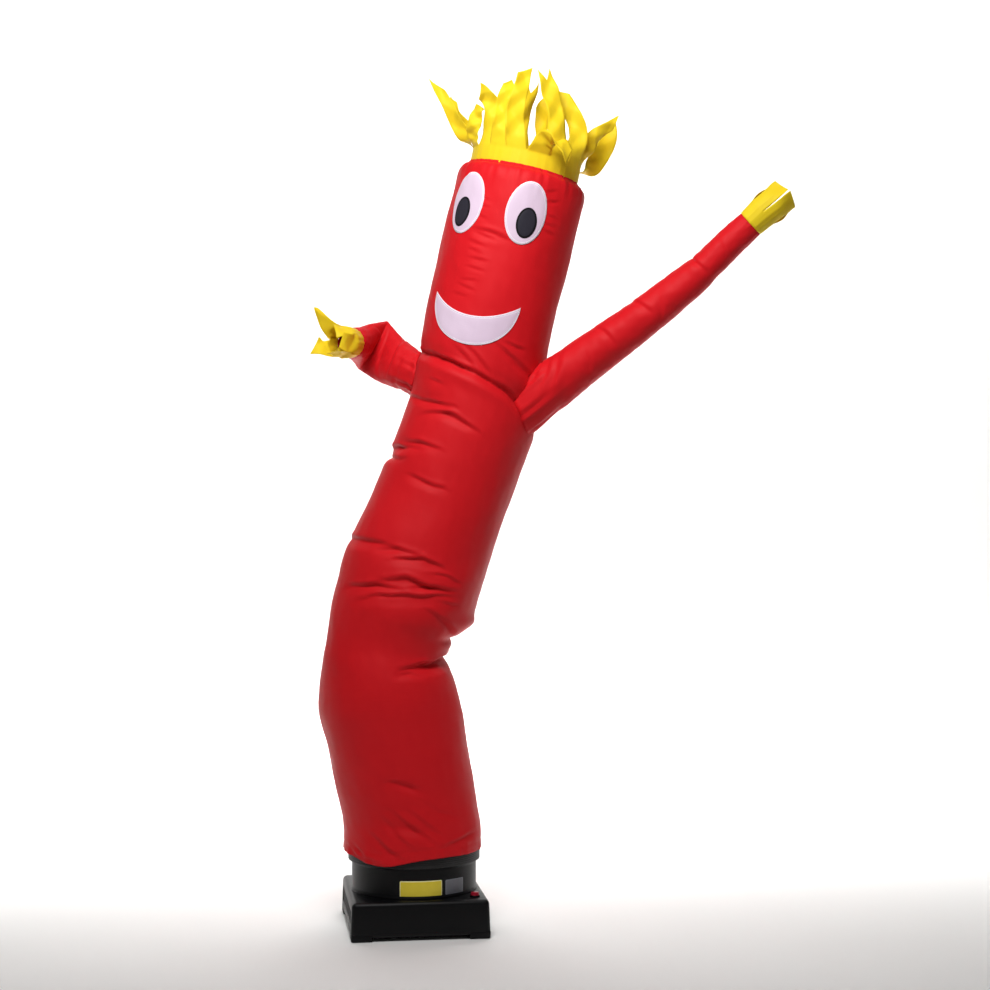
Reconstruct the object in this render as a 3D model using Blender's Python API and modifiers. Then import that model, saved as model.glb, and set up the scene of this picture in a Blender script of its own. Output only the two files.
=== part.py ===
# An inflatable air dancer standing on its blower.
# A red nylon tube with a sewn-on face, two sleeves, and yellow hands and hair cut into strips.
# Metres, +Z up. The blower's front faces -Y, and the origin is on the floor under the middle of it all.

import math

import bmesh
import bpy
from mathutils import Matrix, Vector
from mathutils.bvhtree import BVHTree

OBJECT_NAME = "inflatable_air_dancer"

# Where the blower stands, and how far the dancer is turned on it
STAND_X = -0.306
STAND_Y = 0.083
DANCER_TURN = math.radians(-8)

# General sizes
GAP = 0.0003
CLOTH = 0.002
PATCH_CLOTH = 0.001
STRIP_CLOTH = 0.0015
SHARP_ANGLE = math.radians(35)
CORNER_ANGLE = math.radians(60)

# Blower
BASE_WIDTH = 0.334
BASE_DEPTH = 0.360
BASE_HEIGHT = 0.092
BASE_DRAFT = 0.003
BASE_EDGE = 0.010
FOOT_HEIGHT = 0.008
FOOT_SIDE = 0.052
DRUM_RADIUS = 0.1525
DRUM_TOP = 0.225
LIP_RADIUS = 0.1575
LIP_HEIGHT = 0.058
LIP_EDGE = 0.003
LIP_SHOULDER = 0.006
GUARD_RADIUS = 0.140
GUARD_THICKNESS = 0.004
GUARD_RECESS = 0.002
GUARD_HUB = 0.035
GUARD_RIM = 0.016
GUARD_SPOKE = 0.008
GUARD_SLOTS = 10
DUCT_RADIUS = 0.130
DUCT_DEPTH = 0.020
TURNED_STEPS = 48
GUARD_STEPS = 40
SWITCH_STEPS = 24
STRAP_RADIUS = 0.1615
STRAP_LOW = 0.166
STRAP_HIGH = 0.222
STRAP_EDGE = 0.002

# Plates on the drum: angle and half angle in degrees, lower and upper edge
PLATES = {
    "plate_yellow": (1.0, 19.5, 0.097, 0.136),
    "plate_grey": (34.5, 10.5, 0.097, 0.135),
}
PLATE_FACET = 3.0

# Rocker switch, on the base's top near its front right corner
SWITCH_X = 0.134
SWITCH_Y = -0.134
BEZEL_RADIUS = 0.0125
BEZEL_HEIGHT = 0.004
BEZEL_EDGE = 0.0012
ROCKER_RADIUS = 0.0098
ROCKER_HEIGHT = 0.013
ROCKER_EDGE = 0.0012
ROCKER_PIVOT = 0.005
ROCKER_SINK = 0.002
PIN_RADIUS = 0.001
PIN_STEPS = 10
SWITCH_WELL_RADIUS = 0.0114
SWITCH_WELL_DEPTH = 0.012
ROCKER_THROW = math.radians(14)

# Dancer's mesh
BODY_SIDES = 26
ARM_SIDES = 20
BODY_STEP = 0.045
RING_MERGE = 0.013
TOP_ROWS = 5

# Tube from hem to top: middle of each section (x to the right, y away, z up), radius and lean in degrees
BODY_SECTIONS = [
    (-0.0035, 0.000, 0.192, 0.1685, 0),
    (-0.0040, 0.000, 0.234, 0.1690, -2),
    (-0.0120, -0.001, 0.294, 0.1665, -7),
    (-0.0230, -0.003, 0.355, 0.1680, -9),
    (-0.0350, -0.006, 0.417, 0.1695, -10),
    (-0.0460, -0.010, 0.478, 0.1712, -10),
    (-0.0600, -0.015, 0.540, 0.1730, -6),
    (-0.0630, -0.019, 0.578, 0.1690, -2),
    (-0.0630, -0.021, 0.612, 0.1640, 3),
    (-0.0655, -0.022, 0.648, 0.1570, 7),
    (-0.0660, -0.022, 0.678, 0.1505, 8),
    (-0.0600, -0.020, 0.706, 0.1520, 9),
    (-0.0520, -0.018, 0.733, 0.1570, 11),
    (-0.0360, -0.014, 0.767, 0.1670, 13),
    (-0.0220, -0.010, 0.801, 0.1715, 14),
    (-0.0010, -0.004, 0.872, 0.1735, 16),
    (0.0240, 0.004, 0.940, 0.1690, 20),
    (0.0610, 0.012, 1.031, 0.1628, 22),
    (0.1080, 0.018, 1.157, 0.1610, 21),
    (0.1430, 0.020, 1.253, 0.1610, 18),
    (0.1580, 0.020, 1.328, 0.1600, 16),
    (0.1750, 0.018, 1.439, 0.1578, 13),
    (0.2020, 0.015, 1.562, 0.1592, 13),
    (0.2315, 0.012, 1.685, 0.1600, 13),
    (0.2590, 0.010, 1.795, 0.1600, 12.4),
    (0.2650, 0.010, 1.822, 0.1580, 12.4),
    (0.2680, 0.010, 1.837, 0.1510, 12.4),
    (0.2692, 0.010, 1.844, 0.1390, 12.4),
    (0.2702, 0.010, 1.849, 0.1378, 12.4),
]

# Folds: height along the tube, angle from the front and reach each way in degrees,
# slant in metres per radian, half width, depth (negative stands out)
BODY_FOLDS = [
    ("neck left", 1.220, -52, 62, -0.018, 0.020, 0.010),
    ("neck right", 1.166, 46, 60, -0.048, 0.022, 0.014),
    ("under neck", 1.180, -10, 70, -0.030, 0.018, -0.004),
    ("chest left", 1.104, -48, 38, 0.000, 0.014, 0.006),
    ("chest front", 1.078, -12, 28, -0.012, 0.013, 0.006),
    ("flank notch", 0.945, -84, 42, 0.028, 0.016, 0.011),
    ("flank over notch", 0.982, -50, 36, 0.020, 0.014, 0.005),
    ("flank under notch", 0.912, -25, 20, 0.000, 0.014, 0.004),
    ("waist top", 0.735, -42, 50, 0.020, 0.014, 0.009),
    ("waist middle", 0.723, 6, 32, 0.020, 0.013, 0.007),
    ("waist low", 0.672, 8, 44, 0.023, 0.014, 0.009),
    ("waist left", 0.645, -24, 36, 0.027, 0.013, 0.007),
    ("waist bottom", 0.630, 10, 44, 0.040, 0.014, 0.006),
    ("hip corner", 0.612, 92, 44, 0.000, 0.018, -0.007),
    ("hip notch upper", 0.552, 82, 50, 0.010, 0.014, 0.010),
    ("hip notch lower", 0.480, 62, 66, 0.026, 0.017, 0.015),
    ("skirt front", 0.172, 4, 22, -0.070, 0.014, 0.004),
    ("hem slant", 0.070, 0, 32, -0.050, 0.014, 0.006),
]

# Gathers that run up from the hem: angle and reach in degrees, height that they fade over,
# and how far they stand out
HEM_GATHERS = [
    (-66, 12, 0.070, 0.004),
    (-38, 10, 0.110, 0.005),
    (-17, 9, 0.090, 0.006),
    (22, 10, 0.080, 0.005),
    (47, 12, 0.100, 0.004),
    (118, 14, 0.080, 0.005),
    (165, 12, 0.100, 0.004),
    (-140, 14, 0.090, 0.005),
    (-102, 12, 0.060, 0.004),
]
HEM_DIP = 0.020
HEM_DIP_ANGLE = math.radians(-24)
HEM_DIP_SPREAD = 8
HEM_DIP_FADE = 0.08

# Patches of the face: height along the tube, angle in degrees, half width, half height, lift off the cloth
EYE_ANGLES = {"left": -46.0, "right": 11.0}
EYE_HEIGHT = 1.601
EYE_HALF_WIDTH = 0.0500
EYE_HALF_HEIGHT = 0.0765
PUPIL_HEIGHT = 1.578
PUPIL_SHIFTS = {"left": -2.5, "right": 2.0}
PUPIL_HALF_WIDTH = 0.0245
PUPIL_HALF_HEIGHT = 0.0370
OVAL_SPOKES = 24
OVAL_STEP = 0.0125
MOUTH_HEIGHT = 1.376
MOUTH_ANGLE = -16.0
MOUTH_HALF_WIDTH = 0.1165
MOUTH_DROP = 0.109
MOUTH_DIP = 0.044
MOUTH_TIP = 0.003
MOUTH_COLUMNS = 20
MOUTH_ROWS = 3

# Sleeves from shoulder to wrist: middle (x, y, z), half width and half thickness
RIGHT_ARM = [
    (0.3200, -0.048, 1.3080, 0.0600, 0.0600),
    (0.3624, -0.060, 1.3415, 0.0590, 0.0590),
    (0.4180, -0.073, 1.3830, 0.0555, 0.0560),
    (0.4730, -0.087, 1.4230, 0.0522, 0.0530),
    (0.5274, -0.100, 1.4620, 0.0494, 0.0500),
    (0.5820, -0.114, 1.5030, 0.0470, 0.0475),
    (0.6390, -0.130, 1.5480, 0.0435, 0.0450),
    (0.6860, -0.144, 1.5860, 0.0400, 0.0420),
    (0.7090, -0.151, 1.6080, 0.0370, 0.0395),
    (0.7320, -0.158, 1.6310, 0.0368, 0.0385),
    (0.7680, -0.169, 1.6660, 0.0352, 0.0365),
    (0.8048, -0.180, 1.6997, 0.0339, 0.0345),
]
LEFT_ARM = [
    (0.0150, 0.050, 1.3540, 0.0520, 0.0500),
    (-0.0150, 0.070, 1.3700, 0.0540, 0.0480),
    (-0.0420, 0.091, 1.3840, 0.0590, 0.0420),
    (-0.0700, 0.114, 1.4020, 0.0640, 0.0280),
    (-0.1110, 0.143, 1.4370, 0.0715, 0.0330),
    (-0.1290, 0.092, 1.4360, 0.0550, 0.0270),
    (-0.1390, 0.068, 1.4345, 0.0460, 0.0330),
    (-0.1480, 0.043, 1.4340, 0.0410, 0.0370),
    (-0.1567, 0.018, 1.4330, 0.0365, 0.0360),
]
RIGHT_ARM_WIDE = Vector((0.62, 0.00, -0.78))
LEFT_ARM_WIDE = Vector((0.46, -0.10, 0.88))
ARM_SEAT_LIFT = 0.0013
ARM_SEAT_START = 0.15
ARM_SEAT_REACH = 0.5
ARM_SEAT_SLOPE = 0.45
ARMHOLE_MARGIN = 0.008
ARMHOLE_ENDS = (-0.045, 0.030)
ARMHOLE_SIDES = 12

# Strips, each with: angle round the band and width in degrees, bend point and tip from the strip's root
# (right, away, up), width at the tip as a share of the root's, and roll in degrees
HAIR_RADIUS = 0.1344
HAIR_LOW = -0.012
HAIR_HIGH = 0.036
HAIR_STRIPS = [
    ("front", -14, 18, (-0.005, -0.020, 0.100), (0.030, 0.000, 0.190), 0.80, 25),
    ("folded over", 12, 19, (0.024, -0.050, 0.062), (0.080, -0.036, -0.022), 0.90, -25),
    ("right inner", 36, 18, (-0.002, -0.014, 0.115), (-0.038, 0.000, 0.210), 0.95, -20),
    ("right tall", 60, 18, (0.034, -0.010, 0.110), (-0.040, 0.000, 0.180), 0.90, -70),
    ("right low", 84, 18, (0.009, -0.012, 0.078), (0.104, -0.012, 0.124), 0.45, -60),
    ("right out", 108, 18, (0.112, 0.000, 0.024), (0.066, 0.010, 0.160), 0.80, -70),
    ("back right", 134, 18, (0.030, 0.020, 0.070), (0.050, 0.030, 0.142), 0.50, 40),
    ("back", 160, 18, (0.000, 0.035, 0.080), (-0.004, 0.045, 0.204), 0.90, -20),
    ("back left", 186, 18, (-0.010, -0.005, 0.090), (0.034, -0.040, 0.206), 0.85, 25),
    ("far left back", 212, 17, (-0.020, 0.020, 0.120), (0.070, 0.020, 0.148), 0.80, -30),
    ("left back", 238, 16, (-0.058, 0.010, 0.089), (-0.085, 0.024, 0.153), 0.50, 60),
    ("left out", 262, 15, (-0.047, -0.010, 0.058), (-0.106, -0.020, 0.168), 0.45, 80),
    ("left", 285, 15, (-0.018, -0.014, 0.052), (0.012, -0.020, 0.094), 0.70, 50),
    ("left loop", 306, 16, (0.046, 0.000, 0.112), (-0.016, -0.012, 0.132), 1.00, 50),
    ("front left", 327, 17, (0.008, -0.014, 0.089), (0.031, 0.000, 0.162), 0.75, 30),
]

HAND_BAND = 0.040
HAND_FLARE = 1.10
RIGHT_HAND_STRIPS = [
    ("lower back", 45, 74, (0.024, 0.004, 0.006), (0.036, 0.004, 0.028), 0.80, 0),
    ("upper back", 135, 74, (0.014, 0.004, 0.024), (0.041, 0.004, 0.029), 0.60, 0),
    ("upper front", 225, 74, (0.014, -0.006, 0.036), (0.060, -0.006, 0.0525), 0.45, 0),
    ("lower front", 315, 74, (0.0385, -0.008, 0.0155), (0.057, -0.006, 0.042), 0.85, 0),
]
LEFT_HAND_STRIPS = [
    ("top", 0, 56, (-0.014, -0.030, 0.002), (-0.036, -0.034, -0.004), 0.90, 0),
    ("up", 72, 56, (-0.020, -0.020, 0.012), (-0.050, -0.026, 0.062), 0.12, 0),
    ("out", 144, 56, (-0.020, -0.030, -0.002), (-0.047, -0.026, 0.007), 0.85, 10),
    ("low", 216, 56, (-0.012, -0.030, -0.002), (-0.028, -0.044, 0.010), 0.80, 0),
    ("near", 288, 56, (-0.010, -0.032, 0.000), (-0.038, -0.042, 0.004), 0.85, 0),
]
STRIP_STEPS = 5


def clear_scene():
    for old in list(bpy.data.objects):
        bpy.data.objects.remove(old, do_unlink=True)


def new_collection(name):
    collection = bpy.data.collections.new(name)
    bpy.context.scene.collection.children.link(collection)
    return collection


def new_empty(name, collection, location, turn=0.0):
    empty = bpy.data.objects.new(name, None)
    empty.location = location
    empty.rotation_euler.z = turn
    collection.objects.link(empty)
    return empty


def material(name, colour, roughness):
    """A plain finish, given as linear colour and roughness."""
    finish = bpy.data.materials.new(name)
    finish.use_nodes = True
    shader = finish.node_tree.nodes["Principled BSDF"]
    shader.inputs["Base Color"].default_value = (*colour, 1.0)
    shader.inputs["Roughness"].default_value = roughness
    finish.diffuse_color = (*colour, 1.0)
    return finish


def object_from(bm, name, collection, parent, finish, smooth=True):
    mesh = bpy.data.meshes.new(name)
    bm.to_mesh(mesh)
    bm.free()
    mesh.materials.append(finish)
    if smooth:
        mesh.shade_smooth()
        mesh.set_sharp_from_angle(angle=SHARP_ANGLE)
    made = bpy.data.objects.new(name, mesh)
    made.parent = parent
    collection.objects.link(made)
    return made


def boolean(target, cutter, operation="DIFFERENCE"):
    cut = target.modifiers.new("cut_" + cutter.name, "BOOLEAN")
    cut.operation = operation
    cut.solver = "EXACT"
    cut.object = cutter


def make_cutter(cutter):
    cutter.hide_render = True
    cutter.display_type = "WIRE"


def section_at(sections, lengths, along):
    """One row of a section table at a length along it, on a smooth curve through its rows."""
    along = min(max(along, 0.0), lengths[-1])
    index = 0
    while index < len(lengths) - 2 and along > lengths[index + 1]:
        index += 1
    span = lengths[index + 1] - lengths[index]
    u = (along - lengths[index]) / span
    before, after = max(index - 1, 0), min(index + 2, len(lengths) - 1)
    row = []
    for start, end, low, high in zip(
        sections[index], sections[index + 1], sections[before], sections[after]
    ):
        slope_in = (end - low) / (lengths[index + 1] - lengths[before]) * span
        slope_out = (high - start) / (lengths[after] - lengths[index]) * span
        row.append(
            (2 * u**3 - 3 * u**2 + 1) * start
            + (u**3 - 2 * u**2 + u) * slope_in
            + (3 * u**2 - 2 * u**3) * end
            + (u**3 - u**2) * slope_out
        )
    return row


def running_lengths(sections):
    """Length along a section table up to each row, from the rows' middles."""
    lengths = [0.0]
    for low, high in zip(sections, sections[1:]):
        lengths.append(lengths[-1] + (Vector(high[:3]) - Vector(low[:3])).length)
    return lengths


BODY_LENGTHS = running_lengths(BODY_SECTIONS)


def angle_between(angle, centre):
    return (angle - centre + math.pi) % (2 * math.pi) - math.pi


def fold_depth(along, angle):
    """How far the folds draw the cloth in at a height and an angle."""
    drawn = 0.0
    for _, height, centre, reach, slant, width, depth in BODY_FOLDS:
        off = angle_between(angle, math.radians(centre))
        reach = math.radians(reach)
        if abs(off) < reach:
            across = (along - height - slant * off) / width
            drawn += depth * math.exp(-across * across) * math.cos(off / reach * math.pi / 2) ** 2
    for centre, reach, fade, height in HEM_GATHERS:
        off = angle_between(angle, math.radians(centre)) / math.radians(reach)
        drawn -= height * math.exp(-off * off) * max(0.0, 1 - along / fade) ** 2
    return drawn


def body_point(along, angle, lift=0.0):
    """A point on the tube's cloth. Angle 0 faces the viewer, and +90 degrees is to the right."""
    x, y, z, radius, lean = section_at(BODY_SECTIONS, BODY_LENGTHS, along)
    lean = math.radians(lean)
    radius += lift - fold_depth(along, angle)
    side = radius * math.sin(angle)
    return Vector((x + side * math.cos(lean), y - radius * math.cos(angle), z - side * math.sin(lean)))


def hem_drop(along, angle):
    """The hem hangs a little lower at its front left."""
    fade = max(0.0, 1 - along / HEM_DIP_FADE) ** 2
    return HEM_DIP * fade * max(0.0, math.cos(angle - HEM_DIP_ANGLE)) ** HEM_DIP_SPREAD


def ring_heights():
    """Heights of the body's rings: even steps, with three more at each fold."""
    total = BODY_LENGTHS[-1]
    steps = round(total / BODY_STEP)
    wanted = [total * i / steps for i in range(steps + 1)]
    top = BODY_LENGTHS[-TOP_ROWS:]
    wanted += top
    for _, height, _, _, _, width, _ in BODY_FOLDS:
        wanted += [height - width, height, height + width]
    kept = []
    for height in sorted(wanted):
        if not kept or height - kept[-1] > (RING_MERGE if height < top[0] else GAP):
            kept.append(height)
    return kept


def extrude_ring(bm, ring, points):
    """Extrudes a closed loop of vertices and moves the new loop to the points."""
    edges = [bm.edges.get(pair) for pair in zip(ring, ring[1:] + ring[:1])]
    made = bmesh.ops.extrude_edge_only(bm, edges=edges)["geom"]
    new = {item for item in made if isinstance(item, bmesh.types.BMVert)}
    following = []
    for vert in ring:
        following.append(next(e.other_vert(vert) for e in vert.link_edges if e.other_vert(vert) in new))
    for vert, point in zip(following, points):
        vert.co = point
    return following


def first_ring(bm, points):
    ring = bmesh.ops.create_circle(bm, cap_ends=False, segments=len(points), radius=1.0)["verts"]
    for vert, point in zip(ring, points):
        vert.co = point
    return ring


def tube_through(bm, rings):
    """Skin through closed rings of points. Returns its rings of vertices."""
    made = [first_ring(bm, rings[0])]
    for points in rings[1:]:
        made.append(extrude_ring(bm, made[-1], points))
    return made


def join_rings(bm, low, high):
    edges = [bm.edges.get(pair) for ring in (low, high) for pair in zip(ring, ring[1:] + ring[:1])]
    bmesh.ops.bridge_loops(bm, edges=edges)


def point_faces_out(bm):
    bmesh.ops.recalc_face_normals(bm, faces=bm.faces)


def build_body(collection, parent, finish):
    """The tube: rings from the hem to the gathered top, with its cloth's thickness on the inside."""
    bm = bmesh.new()
    rings = []
    for along in ring_heights():
        points = []
        for i in range(BODY_SIDES):
            angle = 2 * math.pi * i / BODY_SIDES
            point = body_point(along, angle)
            point.z -= hem_drop(along, angle)
            points.append(point)
        rings.append(points)
    tube_through(bm, rings)
    point_faces_out(bm)
    surface = BVHTree.FromBMesh(bm)
    body = object_from(bm, "body_tube", collection, parent, finish)
    wall = body.modifiers.new("cloth", "SOLIDIFY")
    wall.thickness = CLOTH
    wall.offset = -1.0
    return body, surface


def sleeve_frames(rows, wide):
    """Middle, direction, wide axis and thin axis of each row of a sleeve."""
    frames = []
    for index, row in enumerate(rows):
        low, high = rows[max(index - 1, 0)], rows[min(index + 1, len(rows) - 1)]
        direction = (Vector(high[:3]) - Vector(low[:3])).normalized()
        across = (wide - direction * wide.dot(direction)).normalized()
        frames.append((Vector(row[:3]), direction, across, direction.cross(across)))
    return frames


def sleeve_ring(frame, half_wide, half_thin, sides):
    middle, _, across, thin = frame
    points = []
    for i in range(sides):
        angle = 2 * math.pi * i / sides
        points.append(middle + across * half_wide * math.cos(angle) + thin * half_thin * math.sin(angle))
    return points


def seat_ring(points, direction, surface, lift):
    """Slides each point back along the sleeve until it lies just off the body's cloth."""
    seated = []
    for point in points:
        start = point + direction * ARM_SEAT_START
        hit, normal, _, _ = surface.ray_cast(start, -direction, ARM_SEAT_REACH)
        slope = max(ARM_SEAT_SLOPE, abs(normal.dot(direction)))
        seated.append(hit + direction * lift / slope)
    return seated


def build_sleeve(name, rows, wide, surface, collection, parent, finish):
    """A sleeve: an outer and an inner skin, both cut to the body's surface at the shoulder."""
    frames = sleeve_frames(rows, wide)
    outer = [sleeve_ring(f, r[3], r[4], ARM_SIDES) for f, r in zip(frames, rows)]
    inner = [sleeve_ring(f, r[3] - CLOTH, r[4] - CLOTH, ARM_SIDES) for f, r in zip(frames, rows)]
    away = frames[0][1]
    outer[0] = seat_ring(outer[0], away, surface, ARM_SEAT_LIFT)
    inner[0] = seat_ring(inner[0], away, surface, ARM_SEAT_LIFT)
    bm = bmesh.new()
    made = tube_through(bm, outer + inner[::-1])
    join_rings(bm, made[0], made[-1])
    split_faces(bm, made[: len(rows)])
    split_faces(bm, made[: len(rows) - 1 : -1])
    point_faces_out(bm)
    return object_from(bm, name, collection, parent, finish)


def split_faces(bm, rings):
    """Splits a skin's faces along the same diagonal each, so that a wall's two skins stay apart."""
    for low, high in zip(rings, rings[1:]):
        for index, vert in enumerate(low):
            bmesh.ops.connect_verts(bm, verts=[vert, high[(index + 1) % len(high)]])


def armhole_cutter(name, rows, wide, collection, parent):
    """A short tapered plug through the body's wall where a sleeve is sewn on."""
    middle, direction, across, thin = sleeve_frames(rows, wide)[0]
    bm = bmesh.new()
    rings = []
    half_wide, half_thin = rows[0][3] - ARMHOLE_MARGIN, rows[0][4] - ARMHOLE_MARGIN
    for reach in ARMHOLE_ENDS:
        placed = (middle + direction * reach, direction, across, thin)
        rings.append(sleeve_ring(placed, half_wide, half_thin, ARMHOLE_SIDES))
    made = tube_through(bm, rings)
    for ring in made:
        bm.faces.new(ring)
    point_faces_out(bm)
    cutter = bpy.data.objects.new(name, bpy.data.meshes.new(name))
    bm.to_mesh(cutter.data)
    bm.free()
    cutter.parent = parent
    collection.objects.link(cutter)
    make_cutter(cutter)
    return cutter


def strip_points(root, across, bend, tip, share, roll, step):
    """Middle, half width axis and outward axis of a strip at one of its steps."""
    t = step / STRIP_STEPS
    bend, tip = Vector(bend), Vector(tip)
    middle = root + bend * 2 * t * (1 - t) + tip * t * t
    direction = (bend * 2 * (1 - 2 * t) + tip * 2 * t).normalized()
    turned = Matrix.Rotation(math.radians(roll) * t, 3, direction) @ across
    wide = (turned - direction * turned.dot(direction)).normalized()
    return middle, wide * (1 + (share - 1) * t), wide.cross(direction).normalized()


def cut_strips(bm, outer_ring, inner_ring, strips, across_at, thickness):
    """Extrudes each strip from its own face on the band's top edge."""
    for number, (_, angle, _, bend, tip, share, roll) in enumerate(strips):
        face = face_between(outer_ring, inner_ring, 2 * number)
        corners = [face_vert.co.copy() for face_vert in corner_verts(outer_ring, inner_ring, 2 * number)]
        root = sum(corners, Vector()) / 4
        half = (corners[1] - corners[0]).length / 2
        across = across_at(math.radians(angle))
        for step in range(1, STRIP_STEPS + 1):
            middle, wide, outward = strip_points(root, across, bend, tip, share, roll, step)
            thick = outward * thickness / 2
            aims = [
                middle - wide * half + thick,
                middle + wide * half + thick,
                middle + wide * half - thick,
                middle - wide * half - thick,
            ]
            before = in_order(face.verts, corners)
            face = bmesh.ops.extrude_discrete_faces(bm, faces=[face])["faces"][0]
            after = in_order(face.verts, corners)
            for vert, aim in zip(after, aims):
                vert.co = aim
            bmesh.ops.connect_verts(bm, verts=[before[0], after[1]])
            bmesh.ops.connect_verts(bm, verts=[before[3], after[2]])
            corners = aims


def in_order(verts, corners):
    """The vertices that lie at the corners, in the corners' order."""
    return [min(verts, key=lambda vert: (vert.co - corner).length) for corner in corners]


def corner_verts(outer_ring, inner_ring, index):
    following = (index + 1) % len(outer_ring)
    return [outer_ring[index], outer_ring[following], inner_ring[following], inner_ring[index]]


def face_between(outer_ring, inner_ring, index):
    corners = set(corner_verts(outer_ring, inner_ring, index))
    return next(f for f in outer_ring[index].link_faces if set(f.verts) == corners)


def band_angles(strips):
    """Edges of the strips round their band, in degrees, with a narrow slit between neighbours."""
    angles = []
    for _, angle, width, *_ in strips:
        angles += [angle - width / 2, angle + width / 2]
    return angles


def build_fringe(name, strips, ring_at, across_at, thickness, collection, parent, finish):
    """A band with strips cut into its top. ring_at gives the band's points at its foot and its top."""
    angles = [math.radians(a) for a in band_angles(strips)]
    bm = bmesh.new()
    rings = [
        [ring_at(a, 0.0, 0.0) for a in angles],
        [ring_at(a, 1.0, 0.0) for a in angles],
        [ring_at(a, 1.0, thickness) for a in angles],
        [ring_at(a, 0.0, thickness) for a in angles],
    ]
    made = tube_through(bm, rings)
    join_rings(bm, made[0], made[-1])
    point_faces_out(bm)
    cut_strips(bm, made[1], made[2], strips, across_at, thickness)
    point_faces_out(bm)
    return object_from(bm, name, collection, parent, finish)


def build_hair(collection, parent, finish):
    """The yellow band sewn inside the top of the head, cut into strips above it."""
    x, y, z, _, lean = BODY_SECTIONS[-1]
    lean = math.radians(lean)
    up = Vector((math.sin(lean), 0, math.cos(lean)))
    right = Vector((math.cos(lean), 0, -math.sin(lean)))
    front = Vector((0, -1, 0))
    top = Vector((x, y, z))

    def ring_at(angle, share, inset):
        radius = HAIR_RADIUS - inset
        height = HAIR_LOW + (HAIR_HIGH - HAIR_LOW) * share
        return top + up * height + (front * math.cos(angle) + right * math.sin(angle)) * radius

    def across_at(angle):
        return right * math.cos(angle) - front * math.sin(angle)

    return build_fringe("hair", HAIR_STRIPS, ring_at, across_at, STRIP_CLOTH, collection, parent, finish)


def build_hand(name, strips, rows, wide, collection, parent, finish):
    """A yellow cuff that carries the sleeve on past the wrist, its end cut into strips."""
    middle, direction, across, thin = sleeve_frames(rows, wide)[-1]
    half_wide, half_thin = rows[-1][3], rows[-1][4]

    def ring_at(angle, share, inset):
        flare = 1 + (HAND_FLARE - 1) * share
        wide_reach, thin_reach = half_wide * flare - inset, half_thin * flare - inset
        spread = across * wide_reach * math.cos(angle) + thin * thin_reach * math.sin(angle)
        return middle + direction * (GAP + HAND_BAND * share) + spread

    def across_at(angle):
        return thin * math.cos(angle) - across * math.sin(angle)

    return build_fringe(name, strips, ring_at, across_at, STRIP_CLOTH, collection, parent, finish)


def lay_patch(bm, height, angle, lift):
    """Lays a flat patch, drawn in metres about the origin, on the tube's cloth."""
    radius = section_at(BODY_SECTIONS, BODY_LENGTHS, height)[3]
    for vert in bm.verts:
        vert.co = body_point(height + vert.co.y, math.radians(angle) + vert.co.x / radius, lift)


def sew_on(patch):
    wall = patch.modifiers.new("cloth", "SOLIDIFY")
    wall.thickness = PATCH_CLOTH
    wall.offset = 1.0


def build_oval_patch(name, height, angle, half_width, half_height, lift, collection, parent, finish):
    """An oval: a small capped circle, extruded outwards ring by ring."""
    spokes, steps = OVAL_SPOKES, max(3, round(half_width / OVAL_STEP))
    bm = bmesh.new()
    ring = bmesh.ops.create_circle(bm, cap_ends=True, cap_tris=True, segments=spokes, radius=1.0 / steps)
    rim = [v for v in ring["verts"] if v.co.length > 0.5 / steps]
    shape = [v.co.copy() * steps for v in rim]
    for step in range(2, steps + 1):
        rim = extrude_ring(bm, rim, [p * step / steps for p in shape])
    bmesh.ops.scale(bm, vec=(half_width, half_height, 1.0), verts=bm.verts)
    bmesh.ops.recalc_face_normals(bm, faces=bm.faces)
    lay_patch(bm, height, angle, lift)
    face_away(bm, height)
    patch = object_from(bm, name, collection, parent, finish)
    sew_on(patch)
    return patch


def face_away(bm, height):
    """Turns a patch's faces away from the tube's middle."""
    bm.normal_update()
    x, y, z, _, _ = section_at(BODY_SECTIONS, BODY_LENGTHS, height)
    face = next(iter(bm.faces))
    if face.normal.dot(face.calc_center_median() - Vector((x, y, z))) < 0:
        bmesh.ops.reverse_faces(bm, faces=bm.faces)


def build_mouth(collection, parent, finish):
    """A smile: a grid drawn between a shallow upper curve and a deep lower one."""
    bm = bmesh.new()
    grid = bmesh.ops.create_grid(bm, x_segments=MOUTH_COLUMNS, y_segments=MOUTH_ROWS, size=1.0)["verts"]
    for vert in grid:
        u, share = vert.co.x, (vert.co.y + 1) / 2
        upper = MOUTH_TIP - MOUTH_DIP * (1 - u * u)
        lower = -MOUTH_TIP - MOUTH_DROP * math.sqrt(max(0.0, 1 - u * u))
        vert.co = Vector((u * MOUTH_HALF_WIDTH, lower + (upper - lower) * share, 0))
    lay_patch(bm, MOUTH_HEIGHT, MOUTH_ANGLE, GAP)
    face_away(bm, MOUTH_HEIGHT)
    mouth = object_from(bm, "mouth", collection, parent, finish)
    sew_on(mouth)
    return mouth


def build_face(collection, parent, white, black):
    for side, angle in EYE_ANGLES.items():
        build_oval_patch(
            "eye_" + side, EYE_HEIGHT, angle, EYE_HALF_WIDTH, EYE_HALF_HEIGHT, GAP, collection, parent, white
        )
        build_oval_patch(
            "pupil_" + side,
            PUPIL_HEIGHT,
            angle + PUPIL_SHIFTS[side],
            PUPIL_HALF_WIDTH,
            PUPIL_HALF_HEIGHT,
            2 * GAP + PATCH_CLOTH,
            collection,
            parent,
            black,
        )
    build_mouth(collection, parent, white)


def box(name, size, middle, collection, parent, finish):
    bm = bmesh.new()
    bmesh.ops.create_cube(bm, size=1.0)
    bmesh.ops.scale(bm, vec=size, verts=bm.verts)
    bmesh.ops.translate(bm, vec=middle, verts=bm.verts)
    return object_from(bm, name, collection, parent, finish, smooth=False)


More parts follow.
